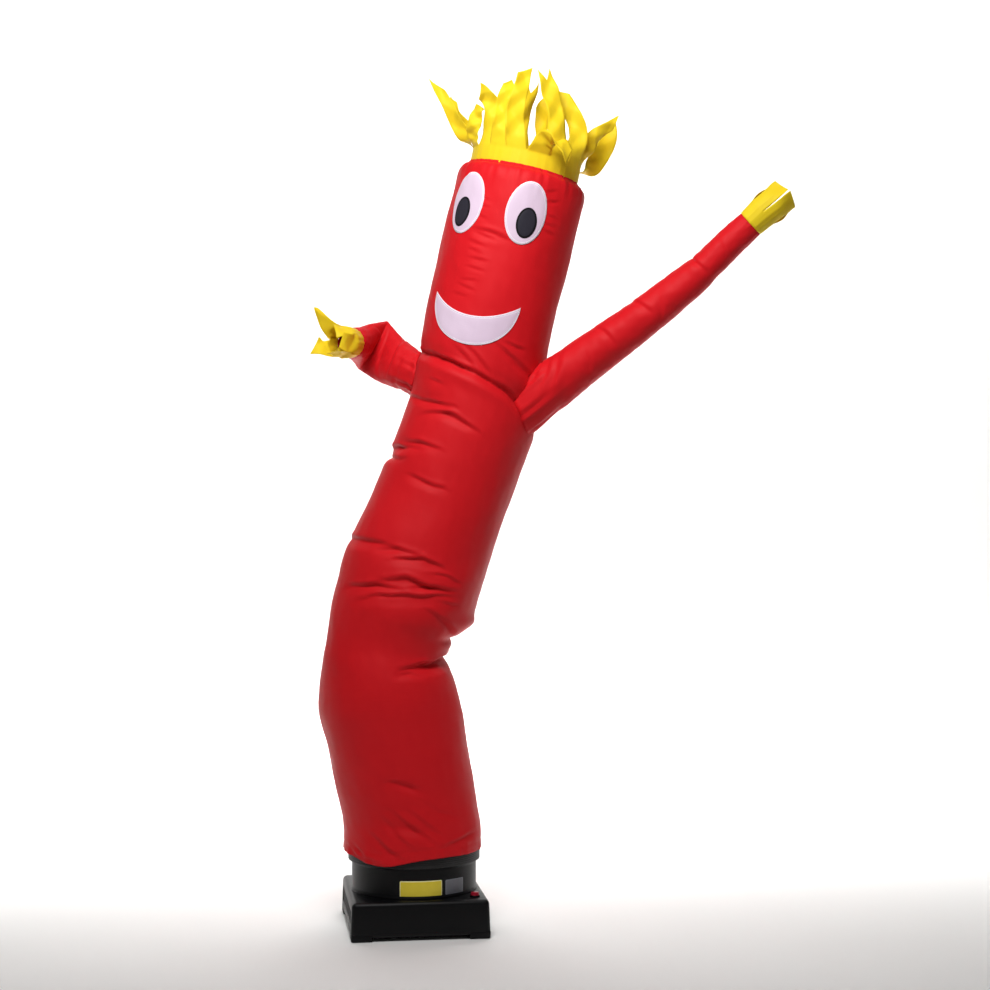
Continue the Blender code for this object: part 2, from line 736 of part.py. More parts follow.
def build_base(collection, cutters, parent, finish):
    """The moulded base: tapered, with rounded upper edges and a foot at each corner."""
    size = (BASE_WIDTH, BASE_DEPTH, BASE_HEIGHT)
    base = box("blower_base", size, (0, 0, BASE_HEIGHT / 2), collection, parent, finish)
    for vert in base.data.vertices:
        if vert.co.z > BASE_HEIGHT / 2:
            vert.co.x -= math.copysign(BASE_DRAFT, vert.co.x)
            vert.co.y -= math.copysign(BASE_DRAFT, vert.co.y)
    spans = {
        "feet_gap_across": (BASE_WIDTH * 2, BASE_DEPTH - 2 * FOOT_SIDE),
        "feet_gap_along": (BASE_WIDTH - 2 * FOOT_SIDE, BASE_DEPTH * 2),
    }
    for name, (width, depth) in spans.items():
        cutter = box(name, (width, depth, 2 * FOOT_HEIGHT), (0, 0, 0), cutters, parent, finish)
        make_cutter(cutter)
        boolean(base, cutter)
    well = turned_cutter(
        "switch_well", SWITCH_X, SWITCH_Y, SWITCH_WELL_RADIUS, SWITCH_WELL_DEPTH, cutters, parent, finish
    )
    boolean(base, well)
    edge = base.modifiers.new("edges", "BEVEL")
    edge.width = BASE_EDGE
    edge.segments = 3
    edge.limit_method = "ANGLE"
    edge.angle_limit = CORNER_ANGLE
    edge.use_clamp_overlap = True
    base.modifiers.move(len(base.modifiers) - 1, 0)
    return base


def turned_cutter(name, x, y, radius, depth, cutters, parent, finish):
    bm = bmesh.new()
    bmesh.ops.create_cone(
        bm, cap_ends=True, segments=SWITCH_STEPS, radius1=radius, radius2=radius, depth=2 * depth
    )
    bmesh.ops.translate(bm, vec=(x, y, BASE_HEIGHT), verts=bm.verts)
    cutter = object_from(bm, name, cutters, parent, finish, smooth=False)
    make_cutter(cutter)
    return cutter


def turned(name, profile, steps, collection, parent, finish):
    """A turned piece from a profile of (radius, height) points, run down its outer side."""
    bm = bmesh.new()
    verts = [bm.verts.new((radius, 0, height)) for radius, height in profile]
    for pair in zip(verts, verts[1:]):
        bm.edges.new(pair)
    if profile[0][0] > 0:
        bm.edges.new((verts[-1], verts[0]))
    piece = object_from(bm, name, collection, parent, finish)
    screw = piece.modifiers.new("turn", "SCREW")
    screw.steps = steps
    screw.render_steps = steps
    screw.use_merge_vertices = True
    screw.merge_threshold = 0.00005
    screw.use_smooth_shade = True
    return piece


def build_drum(collection, parent, finish):
    """The outlet drum: a lip at its top for the strap, and a shallow duct under the guard."""
    seat = DRUM_TOP - GUARD_THICKNESS - GUARD_RECESS
    bottom = BASE_HEIGHT + GAP
    profile = [
        (0.0, seat - DUCT_DEPTH),
        (DUCT_RADIUS, seat - DUCT_DEPTH),
        (DUCT_RADIUS, seat - GAP),
        (GUARD_RADIUS + GAP, seat - GAP),
        (GUARD_RADIUS + GAP, DRUM_TOP),
        (LIP_RADIUS - LIP_EDGE, DRUM_TOP),
        (LIP_RADIUS, DRUM_TOP - LIP_EDGE),
        (LIP_RADIUS, DRUM_TOP - LIP_HEIGHT),
        (DRUM_RADIUS, DRUM_TOP - LIP_HEIGHT - LIP_SHOULDER),
        (DRUM_RADIUS, bottom),
        (0.0, bottom),
    ]
    return turned("blower_drum", profile, TURNED_STEPS, collection, parent, finish)


def build_guard(collection, cutters, parent, finish):
    """The outlet guard: a disc with slots between its spokes."""
    low = DRUM_TOP - GUARD_THICKNESS - GUARD_RECESS
    high = low + GUARD_THICKNESS
    guard = turned(
        "outlet_guard",
        [(0.0, high), (GUARD_RADIUS, high), (GUARD_RADIUS, low), (0.0, low)],
        GUARD_STEPS,
        collection,
        parent,
        finish,
    )
    bm = bmesh.new()
    for i in range(GUARD_SLOTS):
        turn = Matrix.Rotation(2 * math.pi * i / GUARD_SLOTS, 4, "Z")
        slot = bmesh.ops.create_cube(bm, size=1.0)["verts"]
        for vert in slot:
            radius = GUARD_RADIUS - GUARD_RIM if vert.co.x > 0 else GUARD_HUB
            spread = radius * math.pi / GUARD_SLOTS - GUARD_SPOKE / 2
            height = low + vert.co.z * DUCT_DEPTH
            vert.co = turn @ Vector((radius, math.copysign(spread, vert.co.y), height))
    slots = object_from(bm, "guard_slots", cutters, parent, finish, smooth=False)
    make_cutter(slots)
    boolean(guard, slots)
    return guard


def build_strap(collection, parent, finish):
    """The touch-fastening strap round the drum's lip, which the hem closes on."""
    inner = LIP_RADIUS + GAP
    profile = [
        (STRAP_RADIUS, STRAP_HIGH),
        (STRAP_RADIUS, STRAP_LOW + STRAP_EDGE),
        (STRAP_RADIUS - STRAP_EDGE, STRAP_LOW),
        (inner, STRAP_LOW),
        (inner, STRAP_HIGH),
    ]
    return turned("fastening_strap", profile, TURNED_STEPS, collection, parent, finish)


def build_plate(name, angle, half_angle, low, high, collection, parent, finish):
    """A thin plate that follows the drum's side."""
    bm = bmesh.new()
    columns = round(half_angle / PLATE_FACET)
    grid = bmesh.ops.create_grid(bm, x_segments=columns, y_segments=1, size=1.0)["verts"]
    radius = DRUM_RADIUS + GAP
    for vert in grid:
        turn = math.radians(angle + half_angle * vert.co.x)
        height = low + (high - low) * (vert.co.y + 1) / 2
        vert.co = Vector((radius * math.sin(turn), -radius * math.cos(turn), height))
    bm.normal_update()
    face = next(iter(bm.faces))
    if face.normal.dot(face.calc_center_median() * Vector((1, 1, 0))) < 0:
        bmesh.ops.reverse_faces(bm, faces=bm.faces)
    plate = object_from(bm, name, collection, parent, finish)
    sew_on(plate)
    return plate


def build_switch(collection, cutters, parent, black, red):
    """A round rocker on two pins in a bezel on the base's top. The rocker's origin is on its pivot."""
    low = BASE_HEIGHT + GAP
    profile = [
        (BEZEL_RADIUS - BEZEL_EDGE / 2, low + BEZEL_HEIGHT),
        (BEZEL_RADIUS, low + BEZEL_HEIGHT - BEZEL_EDGE),
        (BEZEL_RADIUS, low),
        (SWITCH_WELL_RADIUS, low),
        (SWITCH_WELL_RADIUS, low + BEZEL_HEIGHT),
    ]
    bezel = turned("switch_bezel", profile, SWITCH_STEPS, collection, parent, black)
    bezel.location = (SWITCH_X, SWITCH_Y, 0)
    bm = bmesh.new()
    bmesh.ops.create_cone(
        bm,
        cap_ends=True,
        segments=SWITCH_STEPS,
        radius1=ROCKER_RADIUS,
        radius2=ROCKER_RADIUS,
        depth=ROCKER_HEIGHT,
    )
    bmesh.ops.translate(bm, vec=(0, 0, ROCKER_HEIGHT / 2 - ROCKER_PIVOT), verts=bm.verts)
    tilt = Matrix.Rotation(-ROCKER_THROW / 2, 4, "X")
    bmesh.ops.transform(bm, matrix=tilt, verts=bm.verts)
    rocker = object_from(bm, "switch_rocker", collection, parent, red)
    rocker.location = (SWITCH_X, SWITCH_Y, BASE_HEIGHT + ROCKER_PIVOT - ROCKER_SINK)
    edge = rocker.modifiers.new("edge", "BEVEL")
    edge.width = ROCKER_EDGE
    edge.segments = 2
    edge.limit_method = "ANGLE"
    edge.angle_limit = CORNER_ANGLE
    bm = bmesh.new()
    bmesh.ops.create_cone(
        bm,
        cap_ends=True,
        segments=PIN_STEPS,
        radius1=PIN_RADIUS,
        radius2=PIN_RADIUS,
        depth=2 * (SWITCH_WELL_RADIUS - GAP),
    )
    bmesh.ops.rotate(bm, matrix=Matrix.Rotation(math.pi / 2, 3, "Y"), verts=bm.verts)
    pins = object_from(bm, "rocker_pins", cutters, parent, red)
    pins.location = rocker.location
    make_cutter(pins)
    boolean(rocker, pins, "UNION")


def build():
    clear_scene()
    parts = new_collection(OBJECT_NAME)
    cutters = new_collection("cutters")
    stand = new_empty("stand", parts, (STAND_X, STAND_Y, 0))
    dancer = new_empty("dancer", parts, (STAND_X, STAND_Y, 0), DANCER_TURN)
    red = material("red nylon", (0.55, 0.012, 0.018), 0.45)
    yellow = material("yellow nylon", (0.86, 0.62, 0.01), 0.45)
    white = material("white nylon", (0.80, 0.72, 0.80), 0.55)
    black_cloth = material("black nylon", (0.02, 0.02, 0.022), 0.55)
    black = material("black moulded plastic", (0.012, 0.012, 0.013), 0.45)
    webbing = material("black webbing", (0.010, 0.010, 0.010), 0.80)
    lamp_red = material("red moulded plastic", (0.45, 0.01, 0.03), 0.30)
    plate_yellow = material("yellow film", (0.70, 0.52, 0.03), 0.45)
    plate_grey = material("grey film", (0.10, 0.10, 0.11), 0.40)

    body, surface = build_body(parts, dancer, red)
    sleeves = {
        "sleeve_right": (RIGHT_ARM, RIGHT_ARM_WIDE),
        "sleeve_left": (LEFT_ARM, LEFT_ARM_WIDE),
    }
    for name, (rows, wide) in sleeves.items():
        build_sleeve(name, rows, wide, surface, parts, dancer, red)
        boolean(body, armhole_cutter("armhole_" + name, rows, wide, cutters, dancer))
    build_hand("hand_right", RIGHT_HAND_STRIPS, RIGHT_ARM, RIGHT_ARM_WIDE, parts, dancer, yellow)
    build_hand("hand_left", LEFT_HAND_STRIPS, LEFT_ARM, LEFT_ARM_WIDE, parts, dancer, yellow)
    build_hair(parts, dancer, yellow)
    build_face(parts, dancer, white, black_cloth)

    build_base(parts, cutters, stand, black)
    build_drum(parts, stand, black)
    build_guard(parts, cutters, stand, black)
    build_strap(parts, stand, webbing)
    build_plate("plate_yellow", *PLATES["plate_yellow"], parts, stand, plate_yellow)
    build_plate("plate_grey", *PLATES["plate_grey"], parts, stand, plate_grey)
    build_switch(parts, cutters, stand, black, lamp_red)


build()
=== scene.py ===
import math

import bmesh
import bpy
import numpy as np
from mathutils import Matrix, Vector
from mathutils.bvhtree import BVHTree


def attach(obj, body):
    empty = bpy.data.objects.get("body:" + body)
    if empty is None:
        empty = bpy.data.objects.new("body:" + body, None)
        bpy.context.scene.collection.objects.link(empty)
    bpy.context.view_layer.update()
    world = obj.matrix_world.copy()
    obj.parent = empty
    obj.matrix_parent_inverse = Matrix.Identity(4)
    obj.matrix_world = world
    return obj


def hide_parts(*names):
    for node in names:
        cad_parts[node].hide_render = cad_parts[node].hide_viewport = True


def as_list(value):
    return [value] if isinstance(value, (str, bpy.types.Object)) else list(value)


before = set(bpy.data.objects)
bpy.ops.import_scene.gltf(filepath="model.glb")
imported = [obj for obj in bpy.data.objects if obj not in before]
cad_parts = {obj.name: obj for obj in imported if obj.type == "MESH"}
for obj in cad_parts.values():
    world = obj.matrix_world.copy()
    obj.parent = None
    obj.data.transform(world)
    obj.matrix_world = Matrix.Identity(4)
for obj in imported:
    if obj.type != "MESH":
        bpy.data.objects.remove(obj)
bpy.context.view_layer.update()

# Where the blower stands, and how the dancer is turned on it
place = {"stand": (-0.306, 0.083, 0.0), "turn": -8.0}
onStand = Matrix.Translation(place["stand"])
onBlower = onStand @ Matrix.Rotation(math.radians(place["turn"]), 4, "Z")


# Finishes
def linearColour(code):
    # sRGB hex code to linear colour
    values = [int(code[i:i + 2], 16) / 255 for i in (0, 2, 4)]
    return tuple(v / 12.92 if v <= 0.04045 else ((v + 0.055) / 1.055) ** 2.4 for v in values) + (1.0,)


def addNode(tree, kind, values=None, links=None, **settings):
    # a shader node with its settings, socket values and incoming links
    node = tree.nodes.new("ShaderNode" + kind)
    for name, value in settings.items():
        setattr(node, name, value)
    for socket, value in (values or {}).items():
        node.inputs[socket].default_value = value
    for socket, source in (links or {}).items():
        tree.links.new(source, node.inputs[socket])
    return node


def startFinish(name, roughness, ior, **more):
    # a material holding only its Principled shader and its output
    finish = bpy.data.materials.new(name)
    finish.use_nodes = True
    tree = finish.node_tree
    shader = tree.nodes["Principled BSDF"]
    shader.inputs["Roughness"].default_value = roughness
    shader.inputs["IOR"].default_value = ior
    for socket, value in more.items():
        shader.inputs[socket.replace("_", " ")].default_value = value
    return finish, tree, shader


def blotches(tree, where, scale, dark, light):
    # slow drift between two colours
    noise = addNode(tree, "TexNoise", {"Scale": scale, "Detail": 3.0, "Roughness": 0.55}, {"Vector": where})
    mix = addNode(tree, "Mix", {"A": dark, "B": light}, {"Factor": noise.outputs["Fac"]}, data_type="RGBA")
    return mix.outputs["Result"]


# Ripstop nylon, woven 70 denier and polyurethane coated: IOR 1.53, roughness about 0.5, which gives a
# soft broad shine. The specular level is low, because the dyed cloth reflects little.
# The rip-stop grid is 6 mm; the weave's 0.25 mm threads are drawn at 1.6 mm to stay visible.
def nylonFinish(name, colours, roughness, glow=0.0, grid=0.006, stitch=None):
    finish, tree, shader = startFinish(name, roughness, 1.53, Sheen_Weight=0.01, Specular_IOR_Level=0.1)
    cloth = addNode(tree, "UVMap", uv_map="cloth").outputs["UV"]
    where = addNode(tree, "TexCoord").outputs["Object"]
    colour = blotches(tree, where, 5.0, *[linearColour(c) for c in colours])
    ripstop = addNode(
        tree, "TexBrick",
        {
            "Scale": 1.0, "Brick Width": grid, "Row Height": grid, "Mortar Size": grid * 0.07,
            "Mortar Smooth": 0.6,
        },
        {"Vector": cloth}, offset=0.0, squash=1.0,
    )
    threads = {"Scale": 100.0, "Distortion": 0.4}
    warp = addNode(tree, "TexWave", threads, {"Vector": cloth}, bands_direction="X")
    weft = addNode(tree, "TexWave", threads, {"Vector": cloth}, bands_direction="Y")
    weave = addNode(tree, "Math", {}, {0: warp.outputs["Fac"], 1: weft.outputs["Fac"]}, operation="MULTIPLY")
    rumple = addNode(tree, "TexNoise", {"Scale": 60.0, "Detail": 4.0, "Roughness": 0.6}, {"Vector": cloth})
    bump = addNode(tree, "Bump", {"Strength": 0.1, "Distance": 0.0006}, {"Height": weave.outputs[0]})
    bump = addNode(
        tree, "Bump", {"Strength": 0.18, "Distance": 0.0006},
        {"Height": ripstop.outputs["Fac"], "Normal": bump.outputs[0]},
    )
    bump = addNode(
        tree, "Bump", {"Strength": 0.1, "Distance": 0.003},
        {"Height": rumple.outputs["Fac"], "Normal": bump.outputs[0]},
    )
    if stitch:
        # a thread at a set distance from the edge, in stitches that leave a small gap
        pitch, length = 0.003, 0.0022
        edge = addNode(tree, "UVMap", uv_map="edge").outputs["UV"]
        parts = addNode(tree, "SeparateXYZ", {}, {0: edge})
        off = addNode(tree, "Math", {1: stitch["inset"]}, {0: parts.outputs["Y"]}, operation="SUBTRACT")
        off = addNode(tree, "Math", {}, {0: off.outputs[0]}, operation="ABSOLUTE")
        line = addNode(tree, "Math", {1: stitch["width"] / 2}, {0: off.outputs[0]}, operation="LESS_THAN")
        beat = addNode(tree, "Math", {1: pitch}, {0: parts.outputs["X"]}, operation="MODULO")
        beat = addNode(tree, "Math", {1: length}, {0: beat.outputs[0]}, operation="LESS_THAN")
        thread = addNode(tree, "Math", {}, {0: line.outputs[0], 1: beat.outputs[0]}, operation="MULTIPLY")
        hemWidth = stitch["inset"] * 1.6
        hem = addNode(tree, "Math", {1: hemWidth}, {0: parts.outputs["Y"]}, operation="LESS_THAN")
        for code, share in ((stitch["edge"], hem), (stitch["thread"], thread)):
            colour = addNode(
                tree, "Mix", {"B": linearColour(code)}, {"Factor": share.outputs[0], "A": colour},
                data_type="RGBA",
            ).outputs["Result"]
    tree.links.new(colour, shader.inputs["Base Color"])
    tree.links.new(bump.outputs[0], shader.inputs["Normal"])
    if glow:
        # thin cloth lets some light through from behind
        through = addNode(tree, "BsdfTranslucent", {}, {"Color": colour, "Normal": bump.outputs[0]})
        both = addNode(tree, "MixShader", {0: glow}, {1: shader.outputs[0], 2: through.outputs[0]})
        tree.links.new(both.outputs[0], tree.nodes["Material Output"].inputs["Surface"])
    return finish


# Injection-moulded polypropylene, IOR 1.49, roughness 0.35 to 0.5 and 0.2 to 0.4 on the switch cap,
# with a spark-eroded grain (0.1 mm in life, drawn at 0.8 mm)
def mouldedPlastic(name, colours, roughness):
    finish, tree, shader = startFinish(name, roughness, 1.49, Specular_IOR_Level=0.2)
    where = addNode(tree, "TexCoord").outputs["Object"]
    colour = blotches(tree, where, 14.0, *[linearColour(c) for c in colours])
    grain = addNode(tree, "TexNoise", {"Scale": 1200.0, "Detail": 2.0, "Roughness": 0.5}, {"Vector": where})
    rubbed = addNode(tree, "TexNoise", {"Scale": 9.0, "Detail": 5.0, "Roughness": 0.6}, {"Vector": where})
    worn = addNode(
        tree, "MapRange", {"To Min": roughness - 0.07, "To Max": roughness + 0.1},
        {"Value": rubbed.outputs["Fac"]},
    )
    bump = addNode(tree, "Bump", {"Strength": 0.25, "Distance": 0.0004}, {"Height": grain.outputs["Fac"]})
    tree.links.new(colour, shader.inputs["Base Color"])
    tree.links.new(worn.outputs[0], shader.inputs["Roughness"])
    tree.links.new(bump.outputs[0], shader.inputs["Normal"])
    return finish


# Hook-and-loop webbing in woven nylon, ribs of 1.2 mm drawn at 2.4 mm
def webbingFinish(name, code):
    finish, tree, shader = startFinish(name, 0.85, 1.53, Sheen_Weight=0.35)
    shader.inputs["Base Color"].default_value = linearColour(code)
    where = addNode(tree, "UVMap", uv_map="cloth").outputs["UV"]
    weave = {"Scale": 66.0, "Distortion": 0.6}
    ribs = addNode(tree, "TexWave", weave, {"Vector": where}, bands_direction="Y")
    pile = addNode(tree, "TexNoise", {"Scale": 900.0, "Detail": 3.0}, {"Vector": where})
    bump = addNode(tree, "Bump", {"Strength": 0.5, "Distance": 0.0008}, {"Height": ribs.outputs["Fac"]})
    bump = addNode(
        tree, "Bump", {"Strength": 0.5, "Distance": 0.0005},
        {"Height": pile.outputs["Fac"], "Normal": bump.outputs[0]},
    )
    tree.links.new(bump.outputs[0], shader.inputs["Normal"])
    return finish


# Polyester film with a paler border, IOR 1.57, half gloss
def filmFinish(name, field, border):
    finish, tree, shader = startFinish(name, 0.38, 1.57)
    parts = addNode(tree, "SeparateXYZ", {}, {0: addNode(tree, "UVMap", uv_map="edge").outputs["UV"]})
    inside = addNode(
        tree, "MapRange", {"From Min": 0.0019, "From Max": 0.0024}, {"Value": parts.outputs["Y"]}
    )
    where = addNode(tree, "TexCoord").outputs["Object"]
    colour = blotches(tree, where, 60.0, *[linearColour(c) for c in field])
    colour = addNode(
        tree, "Mix", {"A": linearColour(border)}, {"Factor": inside.outputs[0], "B": colour}, data_type="RGBA"
    ).outputs["Result"]
    wavy = addNode(tree, "TexNoise", {"Scale": 90.0, "Detail": 2.0}, {"Vector": where})
    bump = addNode(tree, "Bump", {"Strength": 0.12, "Distance": 0.0008}, {"Height": wavy.outputs["Fac"]})
    tree.links.new(colour, shader.inputs["Base Color"])
    tree.links.new(bump.outputs[0], shader.inputs["Normal"])
    return finish


redNylon = nylonFinish("red ripstop nylon", ("CC151D", "D61B23"), 0.52, glow=0.03)
yellowNylon = nylonFinish("yellow ripstop nylon", ("F2CF1A", "FBE436"), 0.46, glow=0.22)
whiteNylon = nylonFinish(
    "white ripstop nylon", ("D0B9CD", "DCC7D9"), 0.5,
    stitch={"inset": 0.0035, "width": 0.0012, "edge": "E9DEE9", "thread": "B39CB2"},
)
blackNylon = nylonFinish(
    "black ripstop nylon", ("29272F", "302E37"), 0.5,
    stitch={"inset": 0.003, "width": 0.001, "edge": "141417", "thread": "0A0A0C"},
)
blackPlastic = mouldedPlastic("black moulded polypropylene", ("040406", "070709"), 0.42)
redPlastic = mouldedPlastic("red moulded switch cap", ("A3132C", "B0182F"), 0.3)
blackWebbing = webbingFinish("black hook-and-loop webbing", "0D0D0E")
yellowFilm = filmFinish("yellow plate film", ("DDC61F", "E8D22C"), "F3EBA6")
greyFilm = filmFinish("grey plate film", ("5E5F67", "6B6C74"), "74757D")
print("finishes done")


# Sheets of cloth
def clothGrid(columns, rows, width=1.0, height=1.0):
    # a flat grid with a "cloth" map in metres; returns it with each vertex's share across and up
    bm = bmesh.new()
    bmesh.ops.create_grid(bm, x_segments=columns, y_segments=rows, size=0.5)
    across = np.array([v.co.x + 0.5 for v in bm.verts])
    up = np.array([v.co.y + 0.5 for v in bm.verts])
    cloth = bm.loops.layers.uv.new("cloth")
    for face in bm.faces:
        for loop in face.loops:
            loop[cloth].uv = ((loop.vert.co.x + 0.5) * width, (loop.vert.co.y + 0.5) * height)
    return bm, across, up


def setPoints(bm, points, matrix):
    turned = points @ np.array(matrix.to_3x3()).T + np.array(matrix.translation)
    for vert, point in zip(bm.verts, turned.tolist()):
        vert.co = point


def addEdgeMap(bm, around, inward):
    # a second map: metres round the piece, and metres in from its edge
    edge = bm.loops.layers.uv.new("edge")
    bm.verts.index_update()
    for face in bm.faces:
        for loop in face.loops:
            loop[edge].uv = (around[loop.vert.index], inward[loop.vert.index])


def finishPiece(bm, name, finish, slot, body="dancer", thick=None, offset=-1.0, merge=0.00002, flip=False):
    # welds seams, faces the piece outwards and hands it to the frame
    if merge:
        bmesh.ops.remove_doubles(bm, verts=bm.verts, dist=merge)
    bmesh.ops.recalc_face_normals(bm, faces=bm.faces)
    if flip:
        bmesh.ops.reverse_faces(bm, faces=bm.faces)
    mesh = bpy.data.meshes.new(name)
    bm.to_mesh(mesh)
    bm.free()
    mesh.materials.append(finish)
    mesh.shade_smooth()
    piece = bpy.data.objects.new(name, mesh)
    bpy.context.scene.collection.objects.link(piece)
    if thick:
        wall = piece.modifiers.new("cloth", "SOLIDIFY")
        wall.thickness = thick
        wall.offset = offset
        wall.use_even_offset = False
    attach(piece, body)
    return piece


def facesAwayFrom(bm, middle):
    # True if the first face looks away from a point
    bm.normal_update()
    bm.faces.ensure_lookup_table()
    face = bm.faces[0]
    return face.normal.dot(face.calc_center_median() - Vector(middle)) > 0


def lengthsAlong(rows):
    # running length up to each row, from the rows' middles
    middles = np.array([row[:3] for row in rows])
    return np.concatenate([[0.0], np.cumsum(np.linalg.norm(np.diff(middles, axis=0), axis=1))])


def smoothThrough(values, lengths, where, corners=()):
    # smooth curve through rows of values; a corner row keeps a sharp bend
    index = np.clip(np.searchsorted(lengths, where, side="right") - 1, 0, len(lengths) - 2)
    last = len(lengths) - 1
    before, after = np.maximum(index - 1, 0), np.minimum(index + 2, last)
    isCorner = np.isin(np.arange(len(lengths)), list(corners))
    before = np.where(isCorner[index], index, before)
    after = np.where(isCorner[index + 1], index + 1, after)
    shape = (-1,) + (1,) * (values.ndim - 1)
    span = lengths[index + 1] - lengths[index]
    u = ((np.clip(where, 0, lengths[-1]) - lengths[index]) / span).reshape(shape)
    runIn, runOut = lengths[index + 1] - lengths[before], lengths[after] - lengths[index]
    slopeIn = (values[index + 1] - values[before]) * (span / runIn).reshape(shape)
    slopeOut = (values[after] - values[index]) * (span / runOut).reshape(shape)
    return (
        (2 * u**3 - 3 * u**2 + 1) * values[index] + (u**3 - 2 * u**2 + u) * slopeIn
        + (3 * u**2 - 2 * u**3) * values[index + 1] + (u**3 - u**2) * slopeOut
    )


def wrapped(angle):
    # an angle brought within half a turn either way
    return (angle + np.pi) % (2 * np.pi) - np.pi


def bell(offset, width):
    return np.exp(-((offset / width) ** 2))


def unevenness(along, angle, radius, size, seed, waves=9):
    # smooth random rise and fall of about 1, with hollows of roughly this size, closed round the tube
    rng = np.random.default_rng(seed)
    total = np.zeros(len(along))
    for _ in range(waves):
        heading = rng.uniform(0, math.pi)
        pace = 2 * math.pi / size * rng.uniform(0.6, 1.5)
        around = round(radius * pace * math.cos(heading))
        total += np.sin(around * angle + pace * math.sin(heading) * along + rng.uniform(0, 2 * math.pi))
    return total / math.sqrt(waves / 2) / 1.6


# Shape of a crease: reach above and below it in half widths, and lips as (height, place, spread)
creaseShape = {
    "above": 0.5, "below": 1.6, "sharpness": 1.2, "bite": 1.25, "wander": 0.0015, "swell": 0.15,
    "lips": ((1.1, 1.3, 0.95), (0.3, -3.5, 1.6)),
}


def creaseDepth(along, angle, radius, creases, seed):
    # how far the listed creases draw the cloth in
    drawn = np.zeros(len(along))
    wander = unevenness(along, angle, radius, 0.08, seed) * creaseShape["wander"]
    swell = 1 + creaseShape["swell"] * unevenness(along, angle, radius, 0.06, seed + 1)
    for *spots, width, depth, lip in creases:
        line = [(height, math.radians(turn)) for height, turn in zip(spots[::2], spots[1::2])]
        middle = sum(turn for _, turn in line) / len(line)
        turned = wrapped(angle - middle)
        nearest, side, share = np.full(len(along), 9.0), np.zeros(len(along)), np.zeros(len(along))
        steps = [math.hypot((b[1] - a[1]) * radius, b[0] - a[0]) for a, b in zip(line, line[1:])]
        run = 0.0
        for (low, left), (high, right), step in zip(line, line[1:], steps):
            dx, dy = (right - left) * radius, high - low
            px, py = (turned - (left - middle)) * radius, along + wander - low
            t = np.clip((px * dx + py * dy) / step**2, 0, 1)
            distance = np.hypot(px - t * dx, py - t * dy)
            closer = distance < nearest
            nearest = np.where(closer, distance, nearest)
            side = np.where(closer, np.sign(dx * py - dy * px) * distance, side)
            share = np.where(closer, (run + t * step) / sum(steps), share)
            run += step
        taper = np.sin(np.pi * (0.06 + 0.88 * share)) ** 0.8
        # steep under the cloth that hangs over, gentle below it
        reach = np.where(side > 0, creaseShape["above"], creaseShape["below"]) * width
        valley = creaseShape["bite"] * depth * np.exp(-np.abs(side / reach) ** creaseShape["sharpness"])
        rise = lip * sum(
            size * bell(side - place * width, spread * width) for size, place, spread in creaseShape["lips"]
        )
        drawn += taper * swell * (valley - rise)
    return drawn


